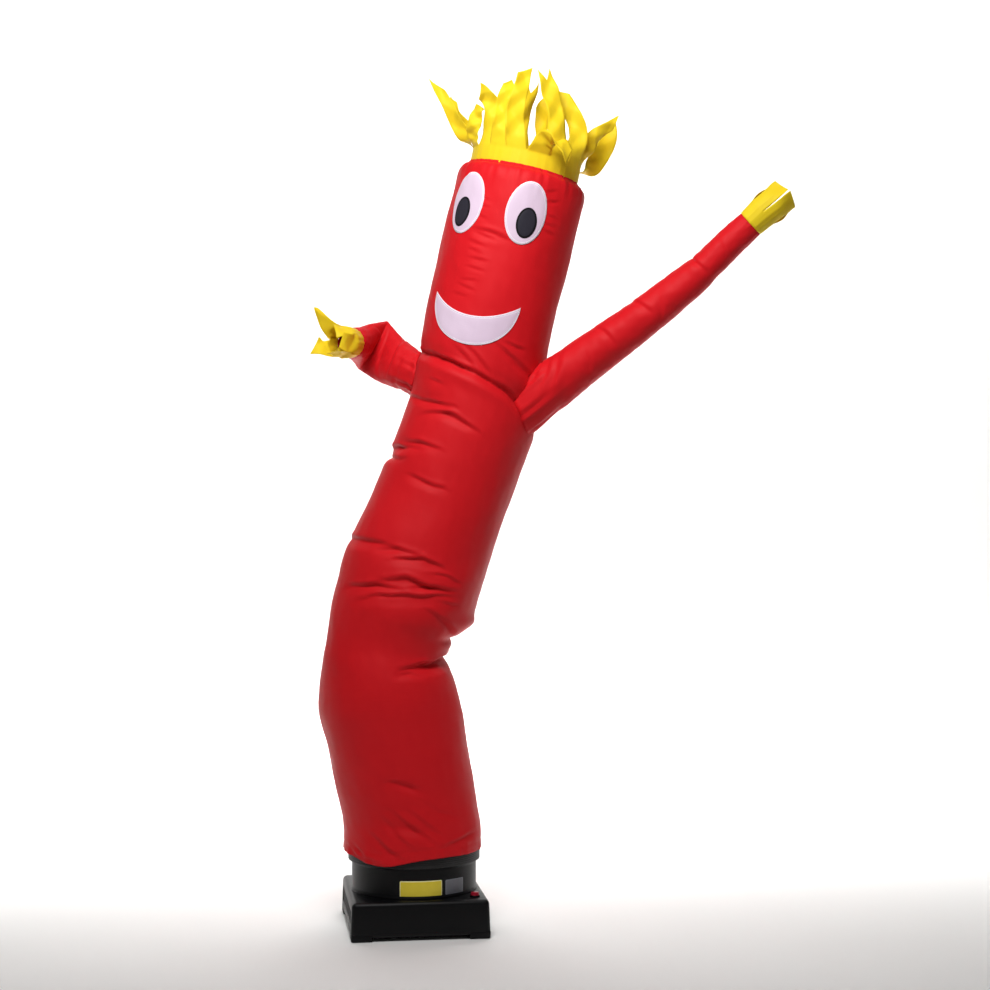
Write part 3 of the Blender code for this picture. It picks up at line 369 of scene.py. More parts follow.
# Body tube
tube = {
    "columns": 114, "rings": 410, "frontShare": 0.38, "cloth": 0.001, "meanRadius": 0.163,
    # slack in the cloth: height, size of its hollows, seed
    "slack": ((0.0011, 0.17, 11), (0.0004, 0.05, 12)),
    # middle of each section (x right, y away, z up), radius and lean in degrees
    "rows": [
        (-0.0035, 0.0, 0.192, 0.1685, 0), (-0.004, 0.0, 0.234, 0.169, -2),
        (-0.012, -0.001, 0.294, 0.1665, -7), (-0.023, -0.003, 0.355, 0.168, -9),
        (-0.035, -0.006, 0.417, 0.1695, -10), (-0.046, -0.01, 0.478, 0.1712, -10),
        (-0.06, -0.015, 0.54, 0.173, -6), (-0.063, -0.019, 0.578, 0.169, -2),
        (-0.063, -0.021, 0.612, 0.164, 3), (-0.0655, -0.022, 0.648, 0.157, 7),
        (-0.066, -0.022, 0.678, 0.1505, 8), (-0.06, -0.02, 0.706, 0.152, 9),
        (-0.052, -0.018, 0.733, 0.157, 11), (-0.036, -0.014, 0.767, 0.167, 13),
        (-0.022, -0.01, 0.801, 0.1715, 14), (-0.001, -0.004, 0.872, 0.1735, 16),
        (0.024, 0.004, 0.94, 0.169, 20), (0.061, 0.012, 1.031, 0.1628, 22),
        (0.108, 0.018, 1.157, 0.161, 21), (0.143, 0.02, 1.253, 0.161, 18),
        (0.158, 0.02, 1.328, 0.16, 16), (0.175, 0.018, 1.439, 0.1578, 13),
        (0.202, 0.015, 1.562, 0.1592, 13), (0.2315, 0.012, 1.685, 0.16, 13),
        (0.259, 0.01, 1.795, 0.16, 12.4), (0.265, 0.01, 1.822, 0.158, 12.4),
        (0.268, 0.01, 1.837, 0.151, 12.4), (0.2692, 0.01, 1.844, 0.139, 12.4),
        (0.2702, 0.01, 1.849, 0.1378, 12.4),
    ],
    # broad folds: height, angle, reach each way, slant per radian, half width, depth
    "folds": [
        (1.22, -52, 62, -0.018, 0.02, 0.01), (1.166, 46, 60, -0.048, 0.022, 0.014),
        (1.18, -10, 70, -0.03, 0.018, -0.004), (1.104, -48, 38, 0.0, 0.014, 0.006),
        (1.078, -12, 28, -0.012, 0.013, 0.003), (0.945, -84, 42, 0.028, 0.016, 0.011),
        (0.982, -50, 36, 0.02, 0.014, 0.005), (0.912, -25, 20, 0.0, 0.014, 0.002),
        (0.735, -42, 50, 0.02, 0.014, 0.0055), (0.723, 6, 32, 0.02, 0.013, 0.004),
        (0.672, 8, 44, 0.023, 0.014, 0.004), (0.645, -24, 36, 0.027, 0.013, 0.003),
        (0.63, 10, 44, 0.04, 0.014, 0.003), (0.607, 92, 44, 0.0, 0.02, -0.01),
        (0.552, 82, 50, 0.01, 0.014, 0.01), (0.48, 62, 66, 0.026, 0.017, 0.015),
        (0.172, 4, 22, -0.07, 0.014, 0.004), (0.07, 0, 32, -0.05, 0.014, 0.006),
    ],
    # gathers over the strap: angle, reach, fade height, height
    "gathers": [
        (-66, 12, 0.07, 0.004), (-38, 10, 0.11, 0.005), (-17, 9, 0.09, 0.006), (22, 10, 0.08, 0.005),
        (47, 12, 0.1, 0.004), (118, 14, 0.08, 0.005), (165, 12, 0.1, 0.004), (-140, 14, 0.09, 0.005),
        (-102, 12, 0.06, 0.004),
    ],
    "hemDip": 0.02, "hemDipAngle": -24, "hemDipFade": 0.08,
    # fine creases: height and angle of each point, then half width, depth and lip
    "creases": [
        (1.232, -118, 1.227, -76, 1.221, -45, 1.211, -21, 1.197, 7, 1.186, 24, 1.173, 36, 1.155, 54, 1.121,
         89, 0.007, 0.0085, 0.003), (1.105, -84, 1.102, -40, 1.11, -16, 0.006, 0.0045, 0.002),
        (1.065, -47, 1.087, -21, 1.069, 13, 0.006, 0.0045, 0.002),
        (1.082, -35, 1.092, -16, 1.077, 2, 0.0045, 0.003, 0.0015),
        (1.161, -47, 1.153, -30, 0.006, 0.003, 0.001),
        (0.958, -100, 0.965, -71, 0.977, -44, 0.982, -33, 0.006, 0.0045, 0.002),
        (0.984, -54, 0.998, -35, 0.997, -14, 0.006, 0.0045, 0.002),
        (0.97, -67, 0.971, -50, 0.005, 0.003, 0.001),
        (0.914, -35, 0.911, -24, 0.912, -10, 0.913, 2, 0.006, 0.004, 0.002),
        (0.934, -108, 0.939, -69, 0.939, -54, 0.947, -46, 0.007, 0.006, 0.002),
        (0.722, -112, 0.726, -91, 0.738, -44, 0.744, -17, 0.006, 0.0048, 0.0018),
        (0.724, -35, 0.742, -17, 0.744, 3, 0.006, 0.0045, 0.002),
        (0.717, -18, 0.738, 5, 0.733, 24, 0.006, 0.0055, 0.0025),
        (0.66, -23, 0.682, -2, 0.678, 18, 0.684, 42, 0.007, 0.006, 0.003),
        (0.655, -1, 0.677, 14, 0.678, 36, 0.005, 0.0035, 0.0015),
        (0.624, -56, 0.635, -41, 0.649, -24, 0.653, -1, 0.007, 0.0055, 0.0025),
        (0.604, -37, 0.626, -20, 0.65, 14, 0.671, 43, 0.007, 0.0055, 0.003),
        (0.709, 15, 0.714, 30, 0.702, 44, 0.005, 0.0035, 0.0015),
        (0.62, 23, 0.605, 38, 0.582, 55, 0.556, 72, 0.007, 0.006, 0.003),
        (0.647, 33, 0.646, 50, 0.005, 0.003, 0.0015),
        (0.553, 74, 0.55, 95, 0.556, 128, 0.007, 0.0065, 0.003),
        (0.456, 14, 0.468, 26, 0.476, 44, 0.493, 75, 0.505, 128, 0.0075, 0.0075, 0.0045),
        (0.445, 12, 0.453, 25, 0.446, 36, 0.005, 0.003, 0.0015),
        (0.189, -9, 0.179, 3, 0.154, 15, 0.006, 0.0035, 0.0015),
        (0.121, -13, 0.068, 5, 0.027, 24, 0.005, 0.004, 0.002),
        (0.104, -20, 0.056, -9, 0.019, 5, 0.005, 0.0036, 0.002),
        (0.062, -32, 0.029, -18, 0.005, -4, 0.005, 0.0045, 0.002),
        (0.032, -55, 0.008, -39, 0.001, -23, 0.005, 0.004, 0.002),
        (0.116, 2, 0.077, 15, 0.047, 29, 0.005, 0.0032, 0.0015),
        (0.022, -63, 0.004, -50, 0.001, -38, 0.005, 0.0036, 0.002),
        (0.135, 14, 0.099, 29, 0.079, 46, 0.004, 0.0022, 0.001),
        (0.025, 31, 0.037, 47, 0.044, 69, 0.005, 0.0034, 0.0015),
        (1.54, -33, 1.538, -16, 1.528, 4, 0.006, 0.0034, 0.0015),
        # short puckers beside the head's upright seam and round the right eye
        (1.616, -32, 1.614, -24, 0.003, 0.0014, 0.0006), (1.6, -30, 1.598, -22, 0.003, 0.0012, 0.0006),
        (1.575, -32, 1.568, -22, 0.0035, 0.0018, 0.0008), (1.534, -30, 1.523, -10, 0.004, 0.0022, 0.001),
        (1.511, -32, 1.502, -18, 0.004, 0.002, 0.001), (1.492, -31, 1.486, -21, 0.0035, 0.0018, 0.0008),
        (1.471, -29, 1.469, -12, 0.004, 0.0018, 0.0008), (1.449, -30, 1.444, -13, 0.0035, 0.0016, 0.0008),
        (1.419, -31, 1.417, -17, 0.0035, 0.0016, 0.0008), (1.407, -34, 1.392, -17, 0.0035, 0.0018, 0.0008),
        (1.382, -37, 1.376, -23, 0.0035, 0.0014, 0.0006), (1.662, 24, 1.673, 34, 0.0035, 0.0018, 0.0008),
        (1.642, 27, 1.648, 39, 0.0035, 0.002, 0.0008), (1.612, 31, 1.606, 43, 0.0035, 0.0018, 0.0008),
        (1.59, 30, 1.588, 42, 0.003, 0.0014, 0.0006), (1.575, 29, 1.566, 42, 0.004, 0.002, 0.001),
        (1.377, 26, 1.359, 36, 0.0035, 0.0018, 0.0008), (1.363, 26, 1.342, 37, 0.0035, 0.0018, 0.0008),
        (1.255, -26, 1.237, -15, 1.208, -3, 0.006, 0.0035, 0.0015),
        (1.258, -13, 1.238, -3, 1.203, 12, 0.006, 0.004, 0.002),
        (1.272, 22, 1.254, 34, 1.232, 48, 0.006, 0.004, 0.002),
        (1.291, 20, 1.284, 40, 0.005, 0.003, 0.0015),
        (1.283, 10, 1.259, 28, 1.23, 41, 0.005, 0.003, 0.0015),
        (1.24, 44, 1.219, 62, 1.198, 86, 0.007, 0.005, 0.002),
        # round the back, where the photo doesn't reach
        (1.12, 100, 1.132, 138, 1.16, 176, 0.008, 0.006, 0.003),
        (1.215, -165, 1.23, -128, 1.236, -104, 0.007, 0.005, 0.0025),
        (0.69, 130, 0.7, 168, 0.716, 214, 0.008, 0.006, 0.003),
        (0.56, 118, 0.572, 152, 0.566, 186, 0.007, 0.0045, 0.002),
        (0.93, 196, 0.944, 226, 0.94, 250, 0.007, 0.005, 0.002),
        (0.08, 128, 0.05, 156, 0.018, 176, 0.007, 0.0045, 0.002),
        (0.09, -168, 0.04, -140, 0.01, -124, 0.007, 0.0045, 0.002),
    ],
    "puckers": 0.0014, "puckerFade": 0.075, "hemTurn": 0.02,
}
tubeRows = np.array(tube["rows"])
tubeLengths = lengthsAlong(tube["rows"])
tubeTop = tubeLengths[-1]


def foldDepth(along, angle):
    # broad folds, gathers, fine creases, puckers under the hair and the turned hem
    drawn = np.zeros(len(along))
    for height, centre, reach, slant, width, depth in tube["folds"]:
        off, reach = wrapped(angle - math.radians(centre)), math.radians(reach)
        rib = np.cos(off / reach * np.pi / 2) ** 2
        drawn += (np.abs(off) < reach) * depth * bell(along - height - slant * off, width) * rib
    for centre, reach, fade, height in tube["gathers"]:
        across = bell(wrapped(angle - math.radians(centre)), math.radians(reach))
        drawn -= height * across * np.maximum(0, 1 - along / fade) ** 2
    radius = tube["meanRadius"]
    drawn += creaseDepth(along, angle, radius, tube["creases"], 4)
    drawn += sum(
        size * unevenness(along, angle, radius, hollow, seed) for size, hollow, seed in tube["slack"]
    )
    nearTop = np.clip(1 - (tubeTop - along - 0.012) / tube["puckerFade"], 0, 1) ** 2
    gathered = np.sin(39 * angle + 0.7) + 0.7 * np.sin(54 * angle + 2.1) + 0.6 * np.sin(23 * angle + 1.0)
    drawn += tube["puckers"] * nearTop * gathered
    nearHem = np.clip(1 - along / 0.05, 0, 1) ** 2
    drawn += 0.0009 * nearHem * (np.sin(31 * angle + 0.4) + np.sin(44 * angle + 1.9))
    drawn += 0.0011 * bell(along - tube["hemTurn"], 0.0035)
    return drawn


def tubePoint(along, angle, lift=0.0):
    # points on the tube's cloth; angle 0 faces the viewer and +90 degrees is to the right
    x, y, z, radius, lean = smoothThrough(tubeRows, tubeLengths, along).T
    lean = np.radians(lean)
    radius = radius + lift - foldDepth(along, angle)
    side = radius * np.sin(angle)
    fade = np.maximum(0, 1 - along / tube["hemDipFade"]) ** 2
    dip = np.maximum(0, np.cos(angle - math.radians(tube["hemDipAngle"]))) ** 8
    points = np.stack([x + side * np.cos(lean), y - radius * np.cos(angle), z - side * np.sin(lean)], axis=1)
    points[:, 2] -= tube["hemDip"] * fade * dip
    return points


def spreadSteps(total, count, centres, width=0.018, weight=3.0):
    # shares 0 to 1 turned into lengths that lie closer together round the centres
    fine = np.linspace(0, total, 2000)
    density = np.ones(len(fine))
    for centre in centres:
        density += weight * bell(fine - centre, width)
    density = np.minimum(density, 1 + weight)
    run = np.concatenate([[0], np.cumsum((density[1:] + density[:-1]) / 2)])
    return lambda share: np.interp(share, run / run[-1], fine)


bm, across, up = clothGrid(tube["columns"], tube["rings"], 2 * math.pi * tube["meanRadius"], tubeTop)
creaseHeights = [height for *spots, _, _, _ in tube["creases"] for height in spots[::2]]
creaseHeights += [tubeTop - 0.01, 0.01]
along = spreadSteps(tubeTop, tube["rings"], creaseHeights)(up)
turn = 2 * math.pi * across - tube["frontShare"] * np.sin(2 * math.pi * across)
setPoints(bm, tubePoint(along, turn), onBlower)
bmesh.ops.remove_doubles(bm, verts=bm.verts, dist=0.00002)
bmesh.ops.recalc_face_normals(bm, faces=bm.faces)
tubeSurface = BVHTree.FromBMesh(bm)
bodyTube = finishPiece(bm, "body-tube", redNylon, "red_nylon", thick=tube["cloth"])
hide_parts("body_tube")
print("body tube done:", len(bodyTube.data.polygons), "faces")


# Sleeves
arms = {
    "sleeve-right": {
        "node": "sleeve_right", "wide": (0.62, 0.0, -0.78), "corners": (), "seed": 21,
        "flat": (0.298, 0.638),
        "rows": [
            (0.32, -0.048, 1.308, 0.06, 0.06), (0.3624, -0.06, 1.3415, 0.059, 0.059),
            (0.418, -0.073, 1.383, 0.0555, 0.056), (0.473, -0.087, 1.423, 0.0522, 0.053),
            (0.5274, -0.1, 1.462, 0.0494, 0.05), (0.582, -0.114, 1.503, 0.047, 0.0475),
            (0.639, -0.13, 1.548, 0.0435, 0.045), (0.686, -0.144, 1.586, 0.04, 0.042),
            (0.709, -0.151, 1.608, 0.037, 0.0395), (0.732, -0.158, 1.631, 0.0368, 0.0385),
            (0.768, -0.169, 1.666, 0.0352, 0.0365), (0.8048, -0.18, 1.6997, 0.0339, 0.0345),
        ],
        "creases": [
            (0.198, 196, 0.205, 225, 0.209, 240, 0.214, 280, 0.005, 0.003, 0.0015),
            (0.3, 176, 0.311, 205, 0.319, 234, 0.33, 276, 0.006, 0.0035, 0.0015),
            (0.483, 180, 0.486, 220, 0.486, 258, 0.489, 300, 0.005, 0.004, 0.002),
            (0.498, 120, 0.492, 160, 0.488, 190, 0.005, 0.003, 0.0015),
            (0.094, 210, 0.059, 252, 0.026, 284, 0.007, 0.0035, 0.002),
            (0.07, 190, 0.044, 240, 0.019, 264, 0.006, 0.0035, 0.0015),
            (0.04, 150, 0.03, 200, 0.012, 236, 0.006, 0.003, 0.0015),
            (0.052, 300, 0.04, 330, 0.03, 372, 0.006, 0.0035, 0.0015),
            (0.15, 250, 0.136, 285, 0.118, 314, 0.006, 0.002, 0.001),
            (0.366, 252, 0.352, 285, 0.338, 314, 0.006, 0.002, 0.001),
            (0.43, 30, 0.44, 70, 0.436, 110, 0.006, 0.003, 0.0015),
            (0.25, 20, 0.262, 60, 0.258, 90, 0.006, 0.0025, 0.001),
            (0.56, 240, 0.552, 290, 0.545, 330, 0.005, 0.002, 0.001),
        ],
    },
    "sleeve-left": {
        "node": "sleeve_left", "wide": (0.46, -0.1, 0.88), "corners": (4,), "seed": 31,
        "flat": (0.297, 0.311),
        "rows": [
            (0.015, 0.05, 1.354, 0.052, 0.05), (-0.015, 0.07, 1.37, 0.054, 0.048),
            (-0.042, 0.091, 1.384, 0.059, 0.042), (-0.07, 0.114, 1.402, 0.064, 0.028),
            (-0.111, 0.143, 1.437, 0.0715, 0.033), (-0.129, 0.092, 1.436, 0.055, 0.027),
            (-0.139, 0.068, 1.4345, 0.046, 0.033), (-0.148, 0.043, 1.434, 0.041, 0.037),
            (-0.1567, 0.018, 1.433, 0.0365, 0.036),
        ],
        "creases": [
            (0.046, 10, 0.041, 282, 0.037, 216, 0.006, 0.003, 0.0015),
            (0.105, 20, 0.085, -40, 0.07, -90, 0.072, -140, 0.007, 0.004, 0.002),
            (0.098, 216, 0.118, 250, 0.135, 276, 0.16, 330, 0.006, 0.0035, 0.0015),
            (0.093, 276, 0.12, 256, 0.147, 240, 0.17, 190, 0.006, 0.003, 0.0015),
            (0.2, 210, 0.225, 240, 0.253, 264, 0.006, 0.003, 0.0015),
            (0.186, 300, 0.212, 320, 0.236, 345, 0.006, 0.003, 0.0015),
            (0.018, 342, 0.01, 276, 0.014, 174, 0.005, 0.0025, 0.001),
            (0.06, 60, 0.08, 100, 0.074, 140, 0.006, 0.003, 0.0015),
        ],
    },
}
armLook = {
    "sides": 72, "step": 0.0042, "cloth": 0.001, "seat": 0.15, "reach": 0.5, "lift": 0.0006, "girth": 0.31,
    "meanRadius": 0.046, "slack": ((0.0007, 0.09, 2), (0.0004, 0.03, 3)), "rootPuckers": 0.003,
}


def sleeveFrames(rows, wide):
    # middle, direction, wide axis and thin axis of each row
    middles = np.array([row[:3] for row in rows])
    directions = np.empty_like(middles)
    for i in range(len(rows)):
        step = middles[min(i + 1, len(rows) - 1)] - middles[max(i - 1, 0)]
        directions[i] = step / np.linalg.norm(step)
    wides = np.array(wide) - directions * (directions @ np.array(wide))[:, None]
    wides /= np.linalg.norm(wides, axis=1)[:, None]
    return middles, directions, wides, np.cross(directions, wides)


def seatOnTube(points, direction, lift):
    # slides a ring's points back along the sleeve until they lie on the tube
    toward = (onBlower.to_3x3() @ Vector(direction)).normalized()
    back = onBlower.inverted()
    seated = []
    for point in points:
        start = onBlower @ Vector(point) + toward * armLook["seat"]
        hit, normal, _, _ = tubeSurface.ray_cast(start, -toward, armLook["reach"])
        seated.append(back @ (hit + toward * lift / max(0.45, abs(normal.dot(toward)))))
    return np.array(seated)


def sewSleeve(name, arm):
    middles, directions, wides, thins = sleeveFrames(arm["rows"], arm["wide"])
    angles = 2 * math.pi * np.arange(armLook["sides"] + 1) / armLook["sides"]
    halfWide = np.array([row[3] for row in arm["rows"]])[:, None, None]
    halfThin = np.array([row[4] for row in arm["rows"]])[:, None, None]
    rings = middles[:, None] + wides[:, None] * halfWide * np.cos(angles)[None, :, None]
    rings = rings + thins[:, None] * halfThin * np.sin(angles)[None, :, None]
    rings[0] = seatOnTube(rings[0], directions[0], armLook["lift"])
    lengths = lengthsAlong(arm["rows"])
    total = lengths[-1]
    count = round(total / armLook["step"])
    bm, across, up = clothGrid(armLook["sides"], count, armLook["girth"], total)
    column = np.rint(across * armLook["sides"]).astype(int)
    row = np.rint(up * count).astype(int)
    steps = np.linspace(0, total, count + 1)
    skin = smoothThrough(rings, lengths, steps, arm["corners"])
    centre = skin[:, :-1].mean(axis=1)
    outward = skin - centre[:, None]
    outward /= np.linalg.norm(outward, axis=2)[:, :, None]
    along, angle = steps[row], angles[column]
    radius = armLook["meanRadius"]
    drawn = creaseDepth(along, angle, radius, arm["creases"], arm["seed"])
    for size, hollow, step in armLook["slack"]:
        drawn += size * unevenness(along, angle, radius, hollow, arm["seed"] + step)
    root = np.clip(along / 0.006, 0, 1) * np.exp(-along / 0.022)
    drawn += armLook["rootPuckers"] * root * (np.sin(13 * angle + 0.5) + 0.7 * np.sin(19 * angle + 2.0))
    wrist = np.exp(-(total - along) / 0.012)
    drawn += 0.0006 * wrist * (1 + np.sin(15 * angle + 1.0) + 0.6 * np.sin(22 * angle))
    points = skin[row, column] - outward[row, column] * drawn[:, None]
    setPoints(bm, points, onBlower)
    sleeve = finishPiece(bm, name, redNylon, "red_nylon", thick=armLook["cloth"])
    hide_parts(arm["node"])
    print(name, "done:", len(sleeve.data.polygons), "faces")


for armName, arm in arms.items():
    sewSleeve(armName, arm)


# Hair and hands
def smoothStep(t):
    t = np.clip(t, 0, 1)
    return t * t * (3 - 2 * t)


def unit(vector):
    return vector / np.linalg.norm(vector)


def turnAbout(vector, axis, angle):
    # Rodrigues' rotation
    return (vector * math.cos(angle) + np.cross(axis, vector) * math.sin(angle)
            + axis * (axis @ vector) * (1 - math.cos(angle)))


def zigzag(angle):
    # a wave with flat sides and tight folds, as creased cloth has
    return math.asin(0.95 * math.sin(angle)) / 1.2532


def tipCut(kind, x):
    # how much shorter a strip's column is than its middle line, by the way it was snipped
    cuts = {
        "slant": (1 + x) / 2, "slope": (1 - x) / 2, "point": abs(x), "notch": 1 - abs(x),
        "square": 0.1 * x * x,
    }
    return cuts[kind]


def cutFringe(name, look, bandPoint, acrossAt):
    # a band and its strips as one sheet: each strip is a grid, and neighbours are welded along the band
    strips = look["strips"]
    whole = bmesh.new()
    cloth = whole.loops.layers.uv.new("cloth")
    columns, bandRows, stripRows = look["columns"], look["bandRows"], look["stripRows"]
    for number, (angle, width, bend, tip, share, roll, cut, kind, ripple) in enumerate(strips):
        before, after = strips[number - 1][0], strips[(number + 1) % len(strips)][0]
        start = angle - ((angle - before) % 360) / 2
        end = angle + ((after - angle) % 360) / 2
        a0, a1 = math.radians(start), math.radians(end)
        bend, tip = np.array(bend), np.array(tip)
        leftEnd = bandPoint(math.radians(angle - width / 2), 1.0)
        rightEnd = bandPoint(math.radians(angle + width / 2), 1.0)
        half = np.linalg.norm(rightEnd - leftEnd) / 2
        root = (rightEnd + leftEnd) / 2
        sideways = acrossAt(math.radians(angle))
        phase = 1.7 * number + look["phase"]
        bm = bmesh.new()
        rows = bandRows + stripRows
        bmesh.ops.create_grid(bm, x_segments=columns, y_segments=rows, size=0.5)
        uv = bm.loops.layers.uv.new("cloth")
        for face in bm.faces:
            for loop in face.loops:
                u, v = loop.vert.co.x + 0.5, loop.vert.co.y + 0.5
                loop[uv].uv = (u * half * 2 + number * 0.1, v * look["length"])
        for vert in bm.verts:
            x, step = vert.co.x * 2, round((vert.co.y + 0.5) * rows)
            here = a0 + (a1 - a0) * (x + 1) / 2
            if step <= bandRows:
                vert.co = bandPoint(here, step / bandRows)
                continue
            t = (step - bandRows) / stripRows
            v = t * (1 - cut * tipCut(kind, x) * t)
            middle = root + bend * 2 * v * (1 - v) + tip * v * v
            heading = unit(bend * 2 * (1 - 2 * v) + tip * 2 * v)
            turned = turnAbout(sideways, heading, math.radians(roll) * smoothStep(v / 0.45))
            wide = unit(turned - heading * (turned @ heading))
            outward = np.cross(wide, heading)
            reach = half * (1 + (share - 1) * v ** look["taper"])
            wave = ripple * smoothStep(v / 0.3)
            lift = wave * zigzag(2 * math.pi * look["waves"] * v + phase + 1.4 * x)
            lift += 0.45 * wave * zigzag(2 * math.pi * look["waves"] * 1.7 * v + 2 * phase - 2.2 * x)
            curl = look["curl"] * half * math.sin(1.3 * phase + 3.0 * v) * (x * x - 0.35)
            sway = look["sway"] * half * math.sin(2 * math.pi * 1.6 * v + 0.7 * phase) * smoothStep(v / 0.2)
            flat = middle + wide * (reach * x + sway) + outward * (lift + curl)
            rooted = bandPoint(here, 1.0) + middle - root
            k = smoothStep((v - look["hold"]) / look["ease"])
            vert.co = rooted * (1 - k) + flat * k
        mesh = bpy.data.meshes.new("strip")
        bm.to_mesh(mesh)
        bm.free()
        whole.from_mesh(mesh)
        bpy.data.meshes.remove(mesh)
    bmesh.ops.transform(whole, matrix=onBlower, verts=whole.verts)
    fringe = finishPiece(
        whole, name, yellowNylon, "yellow_nylon", thick=look["cloth"], offset=0.0, merge=0.00005
    )
    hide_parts(look["node"])
    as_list(look["on"])
    print(name, "done:", len(fringe.data.polygons), "faces")


# Each strip: angle round the band and width in degrees, bend and tip from its root (right, away, up),
# width at the tip, roll, how deep its end is cut, the cut, and the height of its ripples
hair = {
    "node": "hair", "on": ["body-tube"], "flat": (0.844, 0.27), "area": 0.1425, "length": 0.25,
    "cloth": 0.0009,
    "columns": 10, "bandRows": 10, "stripRows": 46, "waves": 1.9, "curl": 0.22, "sway": 0.1, "taper": 1.3,
    "hold": 0.0, "ease": 0.22, "phase": 0.4,
    "radius": 0.1344, "low": -0.012, "high": 0.036,
    "strips": [
        (-14, 21, (-0.005, -0.02, 0.104), (0.03, 0.0, 0.197), 0.66, 25, 0.12, "slope", 0.005),
        (12, 22, (0.024, -0.05, 0.062), (0.08, -0.036, -0.022), 0.9, -25, 0.1, "slant", 0.004),
        (36, 21, (-0.002, -0.014, 0.118), (-0.038, 0.0, 0.217), 0.74, -20, 0.14, "notch", 0.006),
        (60, 21, (0.034, -0.01, 0.11), (-0.04, 0.0, 0.18), 0.72, -70, 0.12, "point", 0.004),
        (84, 21, (0.009, -0.012, 0.078), (0.104, -0.012, 0.124), 0.45, -60, 0.16, "slant", 0.004),
        (108, 22, (0.08, 0.0, 0.012), (0.082, 0.01, 0.132), 0.8, -95, 0.14, "slope", 0.003),
        (134, 21, (0.03, 0.02, 0.07), (0.05, 0.03, 0.142), 0.5, 40, 0.14, "point", 0.005),
        (160, 21, (0.0, 0.035, 0.08), (-0.004, 0.045, 0.204), 0.72, -20, 0.12, "slant", 0.006),
        (186, 21, (-0.01, -0.005, 0.094), (0.034, -0.04, 0.212), 0.66, 25, 0.12, "notch", 0.006),
        (212, 20, (-0.02, 0.02, 0.12), (0.07, 0.02, 0.148), 0.66, -30, 0.14, "slope", 0.006),
        (238, 19, (-0.058, 0.01, 0.089), (-0.085, 0.024, 0.153), 0.5, 60, 0.18, "point", 0.004),
        (262, 18, (-0.047, -0.01, 0.062), (-0.105, -0.02, 0.179), 0.45, 80, 0.18, "slant", 0.004),
        (285, 18, (-0.018, -0.014, 0.052), (0.012, -0.02, 0.094), 0.7, 50, 0.12, "square", 0.004),
        (306, 19, (0.046, 0.0, 0.112), (-0.016, -0.012, 0.132), 0.8, 50, 0.12, "slope", 0.004),
        (327, 20, (0.008, -0.014, 0.089), (0.031, 0.0, 0.162), 0.6, 30, 0.12, "point", 0.005),
    ],
}
handLook = {
    "length": 0.11, "cloth": 0.0009, "columns": 14, "bandRows": 10, "stripRows": 26, "waves": 1.0,
    "curl": 0.16, "band": 0.04, "flare": 1.1,
}
hands = {
    "hand-right": {
        "node": "hand_right", "arm": "sleeve-right", "on": ["sleeve-right"],
        "flat": (0.236, 0.116), "area": 0.0228,
        "sway": 0.0, "taper": 3.0, "hold": 0.35, "ease": 0.65, "phase": 1.1,
        "strips": [
            (45, 86, (0.024, 0.004, 0.006), (0.036, 0.004, 0.028), 0.95, 0, 0.1, "slant", 0.0012),
            (135, 86, (0.014, 0.004, 0.024), (0.041, 0.004, 0.029), 0.85, 0, 0.1, "slope", 0.0012),
            (225, 92, (0.03, -0.004, 0.024), (0.058, -0.006, 0.049), 0.9, 0, 0.06, "slope", 0.0012),
            (315, 92, (0.03, -0.004, 0.023), (0.061, -0.006, 0.044), 0.9, 0, 0.1, "slant", 0.0012),
        ],
    },
    "hand-left": {
        "node": "hand_left", "arm": "sleeve-left", "on": ["sleeve-left"],
        "flat": (0.251, 0.126), "area": 0.0225,
        "sway": 0.02, "taper": 2.0, "hold": 0.0, "ease": 0.3, "phase": 2.3,
        "strips": [
            (0, 70, (-0.014, -0.03, 0.002), (-0.036, -0.034, -0.004), 1.0, 0, 0.1, "slant", 0.002),
            (72, 66, (-0.02, -0.02, 0.012), (-0.05, -0.026, 0.062), 0.12, 0, 0.05, "point", 0.0012),
            (144, 70, (-0.02, -0.03, -0.002), (-0.047, -0.026, 0.007), 1.05, 10, 0.12, "slope", 0.002),
            (216, 70, (-0.012, -0.03, -0.002), (-0.028, -0.044, 0.01), 1.0, 0, 0.1, "notch", 0.002),
            (288, 70, (-0.01, -0.032, 0.0), (-0.038, -0.042, 0.004), 1.05, 0, 0.12, "slant", 0.002),
        ],
    },
}


def hairPlaces():
    lean = math.radians(tubeRows[-1][4])
    upward = np.array([math.sin(lean), 0, math.cos(lean)])
    right = np.array([math.cos(lean), 0, -math.sin(lean)])
    front = np.array([0, -1, 0])

    def bandPoint(angle, share):
        height = hair["low"] + (hair["high"] - hair["low"]) * share
        pucker = 0.0005 * (1 - 0.5 * share) * (math.sin(39 * angle) + 0.7 * math.sin(53 * angle + 2.0))
        radius = hair["radius"] + pucker
        outward = front * math.cos(angle) + right * math.sin(angle)
        return tubeRows[-1][:3] + upward * height + outward * radius

    return bandPoint, lambda angle: right * math.cos(angle) - front * math.sin(angle)


def handPlaces(hand):
    rows = arms[hand["arm"]]["rows"]
    middles, directions, wides, thins = sleeveFrames(rows, arms[hand["arm"]]["wide"])
    middle, direction, wide, thin = middles[-1], directions[-1], wides[-1], thins[-1]

    def bandPoint(angle, share):
        flare = 1 + (hand["flare"] - 1) * share
        pucker = 0.0005 * (math.sin(15 * angle) + math.sin(22 * angle + 1.0))
        spread = wide * (rows[-1][3] * flare - 0.0004 + pucker) * math.cos(angle)
        spread = spread + thin * (rows[-1][4] * flare - 0.0004 + pucker) * math.sin(angle)
        return middle + direction * (0.0003 + hand["band"] * share) + spread

    return bandPoint, lambda angle: thin * math.cos(angle) - wide * math.sin(angle)


